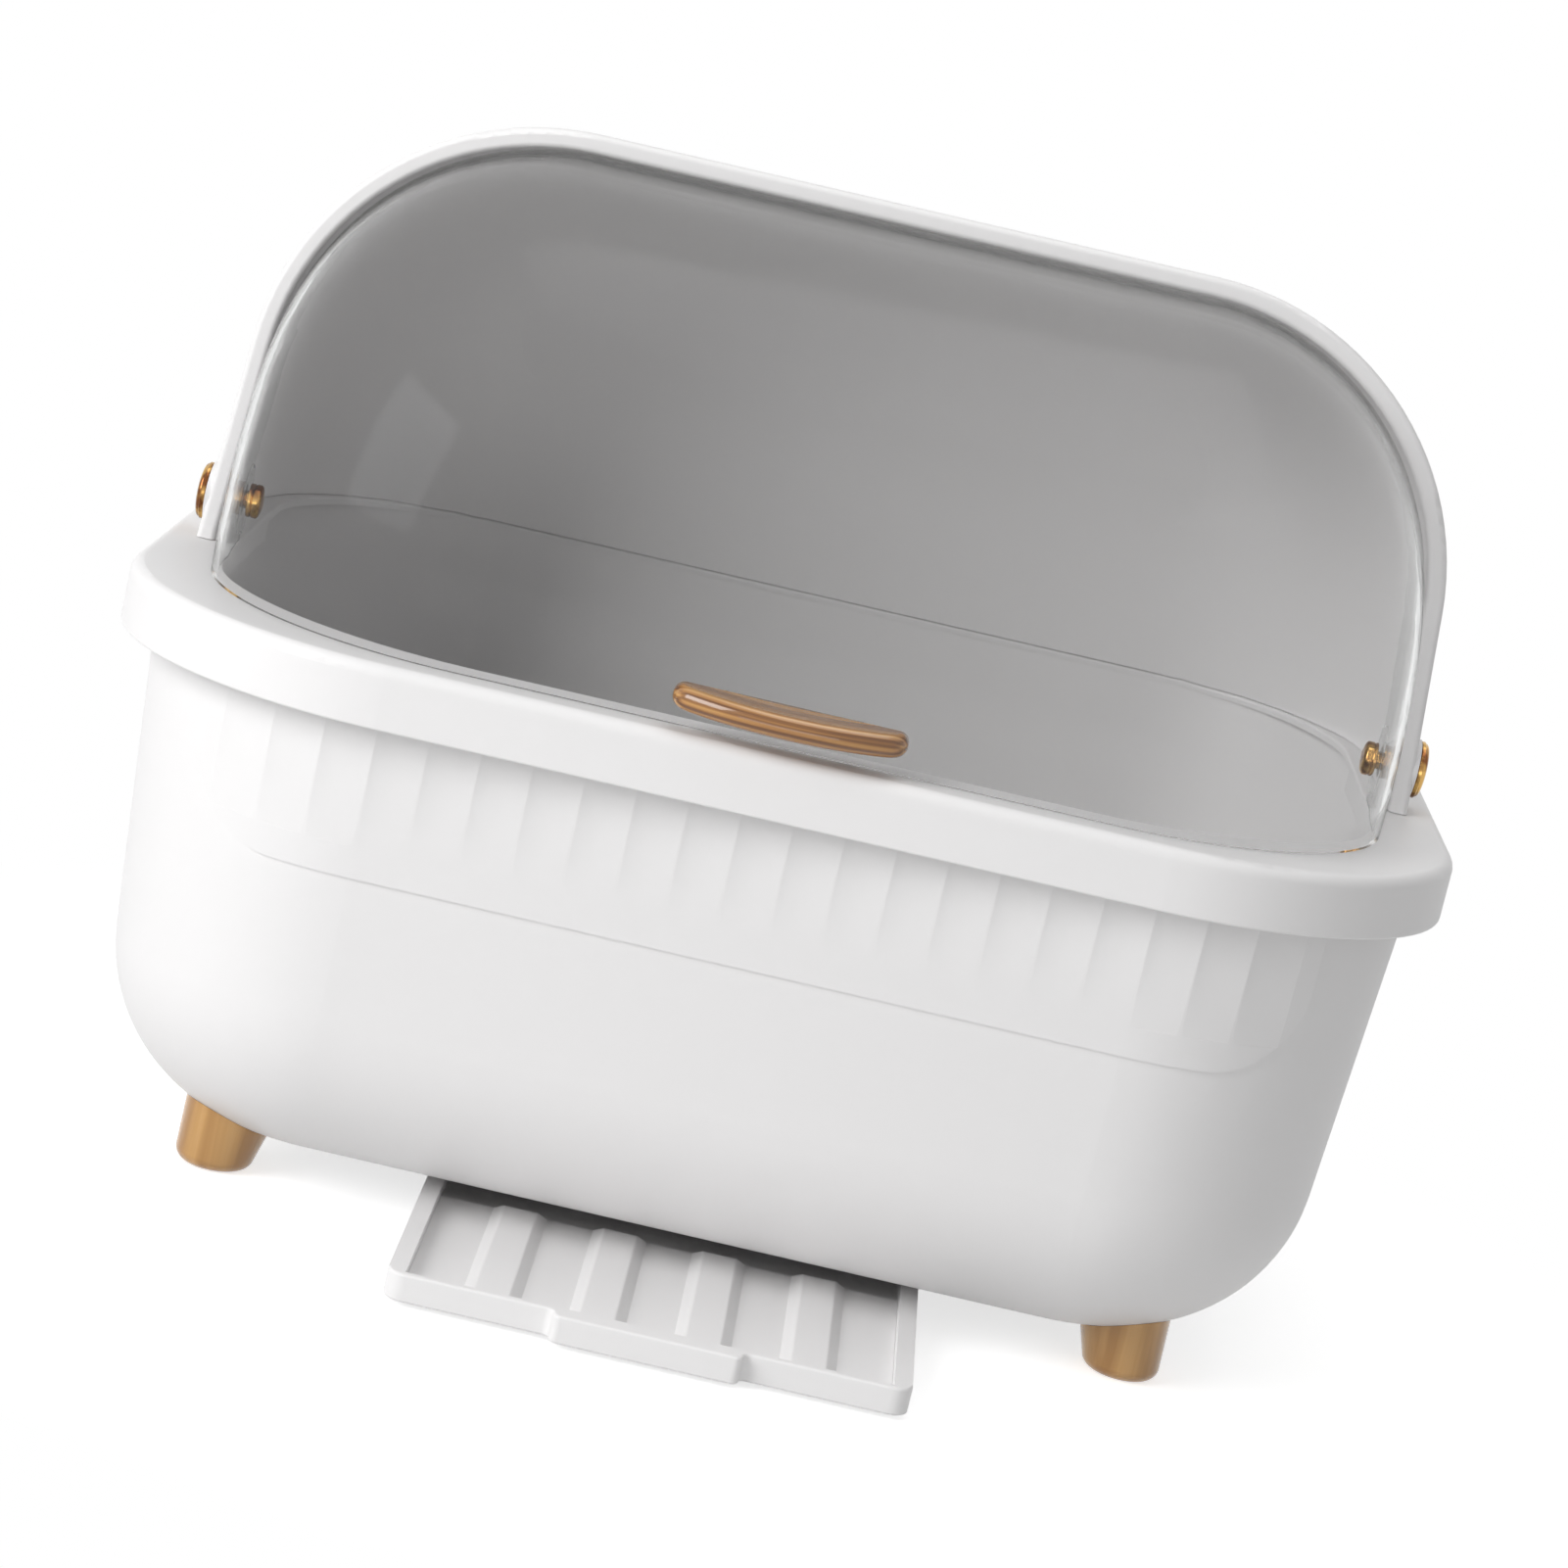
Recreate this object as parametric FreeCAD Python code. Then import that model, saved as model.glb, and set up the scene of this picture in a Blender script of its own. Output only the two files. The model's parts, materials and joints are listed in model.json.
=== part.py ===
# Covered dish drying box: a tub on four legs with a wide rim, a hood with a clear
# swing-up visor, a drain rack with plate combs and a cutlery cup, and a drip tray on rails.
# Millimetres. +X to the right, +Y to the back, +Z up, floor at z = 0.
# The sub-parts are drawn about the middle of the tub, and saved about the middle of the
# whole footprint.
import FreeCAD, Part
import math
import os

Vector = FreeCAD.Vector

# Directions and small working values
X_AXIS = Vector(1, 0, 0)
Y_AXIS = Vector(0, 1, 0)
Z_AXIS = Vector(0, 0, 1)
SIDES = (("left", -1), ("right", 1))
LEG_CORNERS = [(side_x, side_y) for side_x in (-1, 1) for side_y in (-1, 1)]
SAME = 0.01
PAST = 5.0
FAR = 600.0

# Screw heads: round of the rim, and the cross slot's width, length and depth, as shares
HEAD_ROUND = 0.45
CROSS_WIDTH = 0.2
CROSS_LENGTH = 0.6
CROSS_DEPTH = 0.5

# Gaps: between pieces that move apart, between fixed pieces with curved faces, and
# round a shaft that turns
SEAT_GAP = 0.3
FIX_GAP = 0.1
RUN_GAP = 0.06

# Rim collar, the widest ring
RIM_WIDTH = 500.0
RIM_DEPTH = 365.0
RIM_TOP_Z = 215.0
RIM_CORNER_R = 110.0
RIM_SKIRT_H = 23.0
RIM_SKIRT_T = 2.4
RIM_PLATE_T = 3.0
RIM_EDGE_R = 4.5
RIM_HEM_R = 1.0
RIM_OVERHANG = 12.5
LEDGE_FRONT = 31.0
LEDGE_SIDE = 27.0
LEDGE_BACK = 14.6
MOUTH_FRONT_R = 112.0
MOUTH_BACK_R = 82.0
MOUTH_EDGE_R = 1.2
MOUTH_LIP_H = 8.0
MOUTH_LIP_T = 2.2
MOUTH_LIP_END_Y = 60.0
RIM_GUSSET_T = 2.0
RIM_GUSSET_DROP = 14.0
RIM_GUSSETS_X = 5
RIM_GUSSETS_Y = 3
RIM_GUSSET_PITCH = 60.0

# Tub
TUB_BOTTOM_Z = 14.0
TUB_WALL = 3.2
TUB_DRAFT = math.radians(3.9)
TUB_FOOT_R = 68.0

# Raised band on the tub's front, with its row of pleats
BAND_HALF_W = 203.0
BAND_BOTTOM_Z = 134.5
BAND_CORNER_R = 33.0
BAND_RAISE = 1.0
PLEAT_COUNT = 21
PLEAT_PITCH = 18.66
PLEAT_DEPTH = 1.5
PLEAT_RUNOUT = 0.04
PLEAT_FOOT_Z = 146.0
PLEAT_HIDDEN = 4.0
PLEAT_STEEP = 0.16
PLEAT_SLACK = 0.55

# Legs, each a flared and splayed peg
LEG_X = 174.3
LEG_Y = 104.5
LEG_FOOT_R = 14.0
LEG_FLARE = math.radians(8.3)
LEG_SPLAY = math.radians(8.3)
LEG_EDGE_R = 5.0
LEG_CUT_H = 50.0
LEG_SCREW_R = 2.0
LEG_SCREW_HEAD_R = 4.0
LEG_SCREW_HEAD_H = 2.6
LEG_SCREW_L = 20.0
LEG_COUNTERBORE_H = 12.0
LEG_COUNTERBORE_GAP = 0.7
LEG_BOSS_R = 6.5
LEG_BOSS_COVER = 3.0

# Drain in the tub's floor
DRAIN_R = 14.0
DRAIN_GAP = 0.2
STRAINER_WALL = 1.6
STRAINER_FLANGE_R = 19.0
STRAINER_FLANGE_T = 1.6
STRAINER_DROP = 0.8
STRAINER_HOLE_R = 1.5
STRAINER_RING_RS = (4.0, 8.5)
STRAINER_RING_HOLES = (6, 12)

# Drip tray
TRAY_WIDTH = 188.5
TRAY_LENGTH = 240.0
TRAY_BOTTOM_Z = 2.0
TRAY_HEIGHT = 10.4
TRAY_AHEAD = 32.0
TRAY_FLOOR_T = 1.8
TRAY_RIM_W = 6.6
TRAY_RIM_T = 2.0
TRAY_UNDERCUT = 4.5
TRAY_END_WALL = 3.0
TRAY_CORNER_R = 7.0
TRAY_SIDE_DROP = 0.8
TRAY_HEM_R = 1.0
TRAY_DECK_H = 3.0
TRAY_DECK_L = 109.0
TRAY_RIB_COUNT = 4
TRAY_RIB_PITCH = 38.0
TRAY_RIB_H = 3.2
TRAY_RIB_FOOT_W = 20.6
TRAY_RIB_TOP_W = 12.6
TRAY_RIB_EDGE_R = 1.4
TRAY_PULL_W = 68.0
TRAY_PULL_OUT = 6.0
TRAY_EDGE_R = 1.1

# Rails that hang the tray under the tub
RAIL_LENGTH = 160.0
RAIL_WEB_T = 3.0
RAIL_FOOT_T = 3.0
RAIL_FOOT_W = 16.0
RAIL_LIP_T = 2.2
RAIL_SIDE_GAP = 0.5
RAIL_SCREW_Y = 60.0
RAIL_SCREW_R = 1.5
RAIL_SCREW_HEAD_R = 3.0
RAIL_SCREW_HEAD_H = 1.8
RAIL_SCREW_L = 8.5
RAIL_BOSS_R = 5.0
RAIL_BOSS_COVER = 2.0

# Hood
HOOD_SETBACK = 13.2
HOOD_BACK_SETBACK = 12.5
HOOD_RISE = 182.5
HOOD_LEAN = math.radians(4.5)
HOOD_FALL = math.radians(4.6)
HOOD_SHOULDER_R = 113.0
HOOD_CORNER_R = 95.0
HOOD_BEND_R = 54.0
HOOD_WALL = 2.6
HOOD_FRONT_Y = -24.5
ARCH_W = 7.3
ARCH_D = 6.0
ARCH_EDGE_R = 2.2
PEG_L = 24.0
PEG_T = 1.6
PEG_H = 2.4
PEG_GAP = 0.35
PEG_SIDE_Y = (0.0, 40.0, 80.0)

# Hinge of the visor
PIVOT_BEHIND_ARCH = 12.0
PIVOT_ABOVE_RIM = 16.5
PIN_R = 3.5
CAP_R = 11.0
CAP_T = 3.8
CAP_EDGE_R = 1.6
PAD_R = 11.5
PAD_PROUD = 1.1
WASHER_R = 5.6
WASHER_T = 1.2
WASHER_GAP = 0.2
NUT_R = 6.6
NUT_T = 6.5
NUT_COVER = 1.5
NUT_EDGE_R = 1.5

# Visor
VISOR_GAP = 1.4
VISOR_WALL = 2.4
VISOR_TUCK = math.radians(7.0)
VISOR_HUB_R = 14.0
VISOR_HUB_T = 3.4

# Handle of the visor
HANDLE_W = 84.0
HANDLE_OUT = 21.5
HANDLE_END_OUT = 9.0
HANDLE_END_R = 10.5
HANDLE_T = 8.4
HANDLE_EDGE_R = 3.9
HANDLE_ABOVE_RIM = 12.0
HANDLE_SCREW_X = 24.0
HANDLE_SCREW_R = 1.7
HANDLE_SCREW_HEAD_R = 3.6
HANDLE_SCREW_HEAD_H = 2.0
HANDLE_SCREW_L = 12.0

# Drain rack and its plate combs
RACK_TOP_Z = 50.0
RACK_T = 3.0
RACK_SKIRT_H = 9.0
RACK_SKIRT_T = 2.5
RACK_CLEAR = 2.5
RACK_EDGE_R = 1.2
RACK_MARGIN = 12.0
SLOT_W = 8.0
SLOT_L = 48.0
SLOT_PITCH_X = 18.0
SLOT_PITCH_Y = 60.0
RACK_FOOT_R = 6.0
RACK_FOOT_X = 135.0
RACK_FOOT_Y = 60.0
COMB_FROM_END = (7, 2)
COMB_W = 12.0
COMB_T = 4.0
COMB_PITCH = 20.0
COMB_TOOTH_COUNT = 11
COMB_TOOTH_H = 44.0
COMB_TOOTH_R = 3.0
COMB_TIP_R = 2.0
COMB_END = 10.0
COMB_PEG_R = 3.7
COMB_PEG_H = 5.0
COMB_PEG_ROW = 1.5

# Cutlery cup
CUP_SIDE_ROOM = 56.5
CUP_BACK_ROOM = 64.0
CUP_W = 78.0
CUP_D = 56.0
CUP_H = 104.0
CUP_WALL = 2.0
CUP_CORNER_R = 14.0
CUP_LIP_W = 2.5
CUP_LIP_H = 3.0
CUP_HOLE_R = 2.5
CUP_HOLE_PITCH = 11.0
CUP_HOLE_COLUMNS = 5
CUP_HOLE_ROWS = 3
CUP_VENT_W = 4.0
CUP_VENT_L = 46.0
CUP_VENT_PITCH = 11.0
CUP_VENT_COUNT = 5
CUP_VENT_FOOT = 22.0

# Sizes worked out from the ones above
RIM_HALF_W = RIM_WIDTH / 2
RIM_HALF_D = RIM_DEPTH / 2
RIM_BOTTOM_Z = RIM_TOP_Z - RIM_SKIRT_H
TUB_TOP_Z = RIM_TOP_Z - RIM_PLATE_T
TUB_HALF_W = RIM_HALF_W - RIM_OVERHANG
TUB_HALF_D = RIM_HALF_D - RIM_OVERHANG
TUB_CORNER_R = RIM_CORNER_R - RIM_OVERHANG
TUB_FLOOR_Z = TUB_BOTTOM_Z + TUB_WALL
MOUTH_HALF_W = RIM_HALF_W - LEDGE_SIDE
MOUTH_FRONT_Y = LEDGE_FRONT - RIM_HALF_D
MOUTH_BACK_Y = RIM_HALF_D - LEDGE_BACK
MOUTH_HALF_D = (MOUTH_BACK_Y - MOUTH_FRONT_Y) / 2
MOUTH_MID_Y = (MOUTH_BACK_Y + MOUTH_FRONT_Y) / 2
HOOD_FOOT_Z = RIM_TOP_Z + SEAT_GAP
HOOD_HALF_W = RIM_HALF_W - HOOD_SETBACK
HOOD_BACK_Y = RIM_HALF_D - HOOD_BACK_SETBACK
HOOD_TOP_Z = RIM_TOP_Z + HOOD_RISE
PIVOT_Y = HOOD_FRONT_Y + PIVOT_BEHIND_ARCH
PIVOT_Z = RIM_TOP_Z + PIVOT_ABOVE_RIM
VISOR_INSET = ARCH_W + VISOR_GAP
VISOR_R = HOOD_TOP_Z - VISOR_INSET - PIVOT_Z
CUP_X = CUP_SIDE_ROOM + CUP_W / 2 - TUB_HALF_W
CUP_Y = TUB_HALF_D - CUP_BACK_ROOM - CUP_D / 2
TRAY_TOP_Z = TRAY_BOTTOM_Z + TRAY_HEIGHT
TRAY_FRONT_Y = -(RIM_HALF_D + TRAY_AHEAD)
TRAY_BACK_Y = TRAY_FRONT_Y + TRAY_LENGTH
TRAY_HALF_W = TRAY_WIDTH / 2
HANDLE_FRONT_Y = PIVOT_Y - VISOR_R - HANDLE_OUT
ARCH_AT_PIVOT = HOOD_HALF_W - PIVOT_ABOVE_RIM * math.tan(HOOD_LEAN)
HUB_OUT_X = ARCH_AT_PIVOT - VISOR_INSET / math.cos(HOOD_LEAN)
HUB_IN_X = HUB_OUT_X - VISOR_HUB_T
BOSS_X = HUB_OUT_X + WASHER_T + 2 * WASHER_GAP
PAD_X = ARCH_AT_PIVOT + PAD_PROUD
FRONT_REACH = min(TRAY_FRONT_Y - TRAY_PULL_OUT, HANDLE_FRONT_Y, -RIM_HALF_D)
FRAME_SHIFT = Vector(0, -(FRONT_REACH + RIM_HALF_D) / 2, 0)


def save(name, shape):
    """Write one sub-part to its own file, about the middle of the footprint."""
    placed = shape.copy()
    placed.translate(FRAME_SHIFT)
    placed.exportStep("parts/" + name + ".step")


def mirrored(shape):
    """The same shape on the other side of the plane x = 0."""
    return shape.mirror(Vector(), X_AXIS)


def on_side(shape, side):
    """A shape drawn for the right side, or its mirror image on the left."""
    return shape if side > 0 else mirrored(shape)


def block(x0, x1, y0, y1, z0, z1):
    """Box between two corners."""
    return Part.makeBox(x1 - x0, y1 - y0, z1 - z0, Vector(x0, y0, z0))


def prism(wire, height):
    """Straight block over an outline that lies flat."""
    return Part.Face(wire).extrude(Z_AXIS * height)


def rounded_rect(half_x, half_y, radius, z, mid_x=0.0, mid_y=0.0, front_radius=None):
    """Closed outline in a level plane, with the same round corners or wider ones in front."""
    arcs = []
    back_radius = radius
    for turn, (sx, sy) in enumerate(((1, 1), (-1, 1), (-1, -1), (1, -1))):
        radius = front_radius if front_radius and sy < 0 else back_radius
        centre = Vector(mid_x + sx * (half_x - radius), mid_y + sy * (half_y - radius), z)
        angles = [math.radians(90.0 * turn + step) for step in (0.0, 45.0, 90.0)]
        arcs.append([centre + Vector(math.cos(a), math.sin(a), 0) * radius for a in angles])
    edges = []
    for arc, following in zip(arcs, arcs[1:] + arcs[:1]):
        edges.append(Part.Arc(*arc).toShape())
        edges.append(Part.makeLine(arc[-1], following[0]))
    return Part.Wire(edges)


def edges_at(shape, **planes):
    """Edges whose ends and middle all lie at the given x, y or z."""
    found = []
    for edge in shape.Edges:
        middle = edge.valueAt((edge.FirstParameter + edge.LastParameter) / 2)
        points = [v.Point for v in edge.Vertexes] + [middle]
        if all(abs(getattr(p, axis) - at) < SAME for axis, at in planes.items() for p in points):
            found.append(edge)
    return found


def edge_lies_at(edge, z):
    """True where both ends of an edge are at one height."""
    return all(abs(vertex.Z - z) < SAME for vertex in edge.Vertexes)


def polyhedron(points, faces):
    """Closed solid from corner points and lists of corner numbers."""
    sides = []
    for face in faces:
        ring = [points[i] for i in face]
        sides.append(Part.Face(Part.makePolygon(ring + ring[:1])))
    return Part.makeSolid(Part.makeShell(sides))


def along(shape, point, direction):
    """Move a shape drawn on +Z from the origin to a point and direction."""
    placed = shape.copy()
    placed.Placement = FreeCAD.Placement(point, FreeCAD.Rotation(Z_AXIS, direction))
    return placed


def screw(head_r, head_h, shank_r, length):
    """Round-headed screw, seat at the origin, shank up +Z, head below."""
    head = Part.makeCylinder(head_r, head_h, Z_AXIS * -head_h)
    head = head.makeFillet(head_h * HEAD_ROUND, edges_at(head, z=-head_h))
    narrow = head_r * CROSS_WIDTH
    wide = head_r * CROSS_LENGTH
    slot_z = -head_h * CROSS_DEPTH
    for half_x, half_y in ((narrow, wide), (wide, narrow)):
        head = head.cut(block(-half_x, half_x, -half_y, half_y, -head_h - PAST, slot_z))
    return head.fuse(Part.makeCylinder(shank_r, length))


# Tub and rim

def tub_outline(inset, z):
    """Plan outline of the tub's wall at a height, set in from its outer face."""
    grow = (z - RIM_BOTTOM_Z) * math.tan(TUB_DRAFT) - inset
    return rounded_rect(TUB_HALF_W + grow, TUB_HALF_D + grow, TUB_CORNER_R + grow, z)


def tub_block(inset, z_low, z_high):
    """Tapered block with the tub's plan."""
    return Part.makeLoft([tub_outline(inset, z_low), tub_outline(inset, z_high)], True, True)


def tub_form(inset, z_high):
    """The tub's whole outer or inner form, with its large round foot."""
    z_low = TUB_BOTTOM_Z + inset
    body = tub_block(inset, z_low, z_high)
    return body.makeFillet(TUB_FOOT_R - inset, edges_at(body, z=z_low))


def tub_inside(z, clearance):
    """Half width, half depth and corner radius that fit inside the tub's round foot."""
    radius = TUB_FOOT_R - TUB_WALL
    wall = (TUB_FLOOR_Z - RIM_BOTTOM_Z) * math.tan(TUB_DRAFT) - TUB_WALL
    centre = radius * math.tan(TUB_DRAFT) - radius / math.cos(TUB_DRAFT)
    reach = math.sqrt(radius ** 2 - (TUB_FLOOR_Z + radius - z) ** 2)
    grow = wall + centre + reach - clearance
    return TUB_HALF_W + grow, TUB_HALF_D + grow, TUB_CORNER_R + grow


def band_point(x, z, out):
    """Point on the front of the raised band, and pushed out along its normal."""
    grow = (z - RIM_BOTTOM_Z) * math.tan(TUB_DRAFT) + BAND_RAISE
    radius = TUB_CORNER_R + grow
    centre_x = TUB_HALF_W + grow - radius
    across = max(abs(x) - centre_x, 0.0)
    angle = math.asin(across / radius)
    centre_y = radius - TUB_HALF_D - grow
    foot_x = x if across == 0.0 else math.copysign(centre_x, x)
    side = math.copysign(math.sin(angle), x)
    return Vector(foot_x + side * (radius + out), centre_y - math.cos(angle) * (radius + out), z)


def pleat_section(index, z, depth):
    """Closed outline of one pleat at a height: a steep left flank that eases out to the right."""
    x0 = (index - PLEAT_COUNT / 2) * PLEAT_PITCH
    x1 = x0 + PLEAT_PITCH
    poles = [
        band_point(x0, z, PLEAT_RUNOUT),
        band_point(x0 + PLEAT_PITCH * PLEAT_STEEP, z, PLEAT_RUNOUT - depth),
        band_point(x0 + PLEAT_PITCH * PLEAT_SLACK, z, PLEAT_RUNOUT - depth),
        band_point(x1, z, PLEAT_RUNOUT),
    ]
    curve = Part.BezierCurve()
    curve.setPoles(poles)
    outer = [band_point(x, z, PAST) for x in (x0, x1)]
    sides = Part.makePolygon([poles[-1], outer[1], outer[0], poles[0]])
    return Part.Wire([curve.toShape()] + sides.Edges)


def pleat_cutter(index):
    """One soft flute, deepest under the rim and gone at its foot."""
    top = pleat_section(index, RIM_BOTTOM_Z + PLEAT_HIDDEN, PLEAT_DEPTH)
    foot = pleat_section(index, PLEAT_FOOT_Z, PLEAT_RUNOUT)
    return Part.makeLoft([top, foot], True, True)


def make_band():
    """Raised band across the front, round at its lower corners."""
    mid_z = BAND_BOTTOM_Z + FAR / 2
    outline = rounded_rect(BAND_HALF_W, FAR / 2, BAND_CORNER_R, 0.0, mid_y=mid_z)
    front = Part.Face(outline).extrude(Z_AXIS * FAR)
    front.rotate(Vector(), X_AXIS, 90.0)
    raised = tub_block(-BAND_RAISE, TUB_BOTTOM_Z + TUB_FOOT_R, TUB_TOP_Z)
    return raised.common(front)


def leg_axis(side_x, side_y):
    """Foot centre on the floor and upward direction of one leg."""
    lean = math.tan(LEG_SPLAY)
    foot = Vector(side_x * LEG_X, side_y * LEG_Y, 0)
    up = Vector(-side_x * lean, -side_y * lean, 1)
    return foot, up.normalize()


def make_tub():
    """Open tub with its band, pleats, drain hole and the bosses for screws."""
    outer = tub_form(0.0, TUB_TOP_Z)
    tub = outer.fuse(make_band())
    inner = tub_form(TUB_WALL, TUB_TOP_Z + PAST)
    tub = tub.cut(inner)
    bosses = []
    bores = []
    for side_x, side_y in LEG_CORNERS:
        foot, up = leg_axis(side_x, side_y)
        tip = LEG_COUNTERBORE_H + LEG_SCREW_L
        bosses.append(along(Part.makeCylinder(LEG_BOSS_R, tip + LEG_BOSS_COVER), foot, up))
        bores.append(along(Part.makeCylinder(LEG_SCREW_R, tip), foot, up))
    for point in rail_screw_points():
        tip = RAIL_SCREW_L - RAIL_FOOT_T
        base = Vector(point.x, point.y, TUB_BOTTOM_Z)
        bosses.append(Part.makeCylinder(RAIL_BOSS_R, tip + RAIL_BOSS_COVER, base))
        bores.append(Part.makeCylinder(RAIL_SCREW_R, tip, base))
    tub = tub.fuse([boss.common(outer) for boss in bosses])
    recess = Part.makeCylinder(
        STRAINER_FLANGE_R + DRAIN_GAP, PAST, Z_AXIS * (TUB_FLOOR_Z - STRAINER_FLANGE_T)
    )
    hole = Part.makeCylinder(DRAIN_R, FAR, Z_AXIS * -PAST)
    pleats = [pleat_cutter(index) for index in range(PLEAT_COUNT)]
    return tub.cut(bores + [recess, hole] + pleats).removeSplitter()


def mouth_outline(outset, z):
    """Outline of the rim's opening, or one set outwards from it."""
    return rounded_rect(
        MOUTH_HALF_W + outset,
        MOUTH_HALF_D + outset,
        MOUTH_BACK_R + outset,
        z,
        mid_y=MOUTH_MID_Y,
        front_radius=MOUTH_FRONT_R + outset,
    )


def make_rim_collar():
    """Rim ring: top plate, outer skirt, lip round the front of its mouth, and gussets."""
    outer = prism(rounded_rect(RIM_HALF_W, RIM_HALF_D, RIM_CORNER_R, RIM_BOTTOM_Z), RIM_SKIRT_H)
    outer = outer.makeFillet(RIM_EDGE_R, edges_at(outer, z=RIM_TOP_Z))
    outer = outer.makeFillet(RIM_HEM_R, edges_at(outer, z=RIM_BOTTOM_Z))
    under_z = RIM_TOP_Z - RIM_PLATE_T
    sizes = [size - RIM_SKIRT_T for size in (RIM_HALF_W, RIM_HALF_D, RIM_CORNER_R)]
    under = prism(rounded_rect(*sizes, RIM_BOTTOM_Z - PAST), under_z - RIM_BOTTOM_Z + PAST)
    under = under.makeFillet(RIM_EDGE_R - RIM_SKIRT_T, edges_at(under, z=under_z))
    rim = outer.cut(under)
    lip_z = under_z - MOUTH_LIP_H
    lip = prism(mouth_outline(MOUTH_LIP_T, lip_z), RIM_TOP_Z - lip_z - SAME)
    lip = lip.cut(block(-FAR, FAR, MOUTH_LIP_END_Y, FAR, -FAR, FAR))
    gussets = []
    low = under_z - RIM_GUSSET_DROP
    half_t = RIM_GUSSET_T / 2
    for index in range(RIM_GUSSETS_X):
        x = (index - (RIM_GUSSETS_X - 1) / 2) * RIM_GUSSET_PITCH
        gussets.append(block(x - half_t, x + half_t, -FAR, FAR, low, under_z + SAME))
    for index in range(RIM_GUSSETS_Y):
        y = (index - (RIM_GUSSETS_Y - 1) / 2) * RIM_GUSSET_PITCH
        gussets.append(block(-FAR, FAR, y - half_t, y + half_t, low, under_z + SAME))
    inside = under.cut(tub_block(-BAND_RAISE - FIX_GAP, RIM_BOTTOM_Z - PAST, FAR))
    rim = rim.fuse([lip] + [gusset.common(inside) for gusset in gussets])
    mouth = prism(mouth_outline(0.0, RIM_BOTTOM_Z - PAST), FAR)
    rim = rim.cut([mouth] + locating_pegs(PEG_GAP)).removeSplitter()
    return rim.makeFillet(MOUTH_EDGE_R, mouth_edges(rim))


def mouth_edges(rim):
    """Upper edges of the rim's opening."""
    found = []
    for edge in edges_at(rim, z=RIM_TOP_Z):
        box = edge.BoundBox
        half_w = max(abs(box.XMin), abs(box.XMax))
        if half_w < MOUTH_HALF_W + SAME and box.YMax < MOUTH_BACK_Y + SAME:
            found.append(edge)
    return found


def make_leg(side_x, side_y, tub_seat):
    """Splayed leg, flat on the floor and shaped to the tub's round foot above."""
    foot, up = leg_axis(side_x, side_y)
    below = PAST
    low_r = LEG_FOOT_R - below * math.tan(LEG_FLARE)
    high_r = LEG_FOOT_R + LEG_CUT_H * math.tan(LEG_FLARE)
    cone = Part.makeCone(low_r, high_r, below + LEG_CUT_H, foot - up * below, up)
    leg = cone.cut(block(-FAR, FAR, -FAR, FAR, -FAR, 0.0))
    leg = leg.makeFillet(LEG_EDGE_R, edges_at(leg, z=0.0))
    leg = leg.cut(tub_seat)
    pocket = Part.makeCylinder(LEG_SCREW_HEAD_R + LEG_COUNTERBORE_GAP, LEG_COUNTERBORE_H + PAST)
    pocket.translate(Z_AXIS * -PAST)
    bore = Part.makeCylinder(LEG_SCREW_R, FAR)
    return leg.cut([along(pocket, foot, up), along(bore, foot, up)])


def make_leg_screws():
    """One long screw up through each leg."""
    pattern = screw(LEG_SCREW_HEAD_R, LEG_SCREW_HEAD_H, LEG_SCREW_R, LEG_SCREW_L)
    screws = []
    for side_x, side_y in LEG_CORNERS:
        foot, up = leg_axis(side_x, side_y)
        screws.append(along(pattern, foot + up * LEG_COUNTERBORE_H, up))
    return Part.makeCompound(screws)


def make_drain_strainer():
    """Flanged cup with a perforated floor that sits in the drain hole."""
    outer_r = DRAIN_R - DRAIN_GAP
    low = TUB_BOTTOM_Z - STRAINER_DROP
    flange_z = TUB_FLOOR_Z - STRAINER_FLANGE_T
    cup = Part.makeCylinder(outer_r, flange_z - low, Z_AXIS * low)
    cup = cup.fuse(Part.makeCylinder(STRAINER_FLANGE_R, STRAINER_FLANGE_T, Z_AXIS * flange_z))
    hollow = Part.makeCylinder(outer_r - STRAINER_WALL, FAR, Z_AXIS * (low + STRAINER_WALL))
    holes = [Part.makeCylinder(STRAINER_HOLE_R, FAR)]
    for radius, count in zip(STRAINER_RING_RS, STRAINER_RING_HOLES):
        for index in range(count):
            angle = 2 * math.pi * index / count
            centre = Vector(math.cos(angle), math.sin(angle), 0) * radius
            holes.append(Part.makeCylinder(STRAINER_HOLE_R, FAR, centre))
    return cup.cut([hollow] + holes).removeSplitter()


# Tray and rails

def rail_screw_points():
    """Seats of the screws that hold the rails."""
    x = TRAY_HALF_W + RAIL_SIDE_GAP + (RAIL_WEB_T + RAIL_FOOT_W) / 2
    z = TUB_BOTTOM_Z - RAIL_FOOT_T
    return [Vector(sx * x, sy * RAIL_SCREW_Y, z) for sx in (-1, 1) for sy in (-1, 1)]


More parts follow.
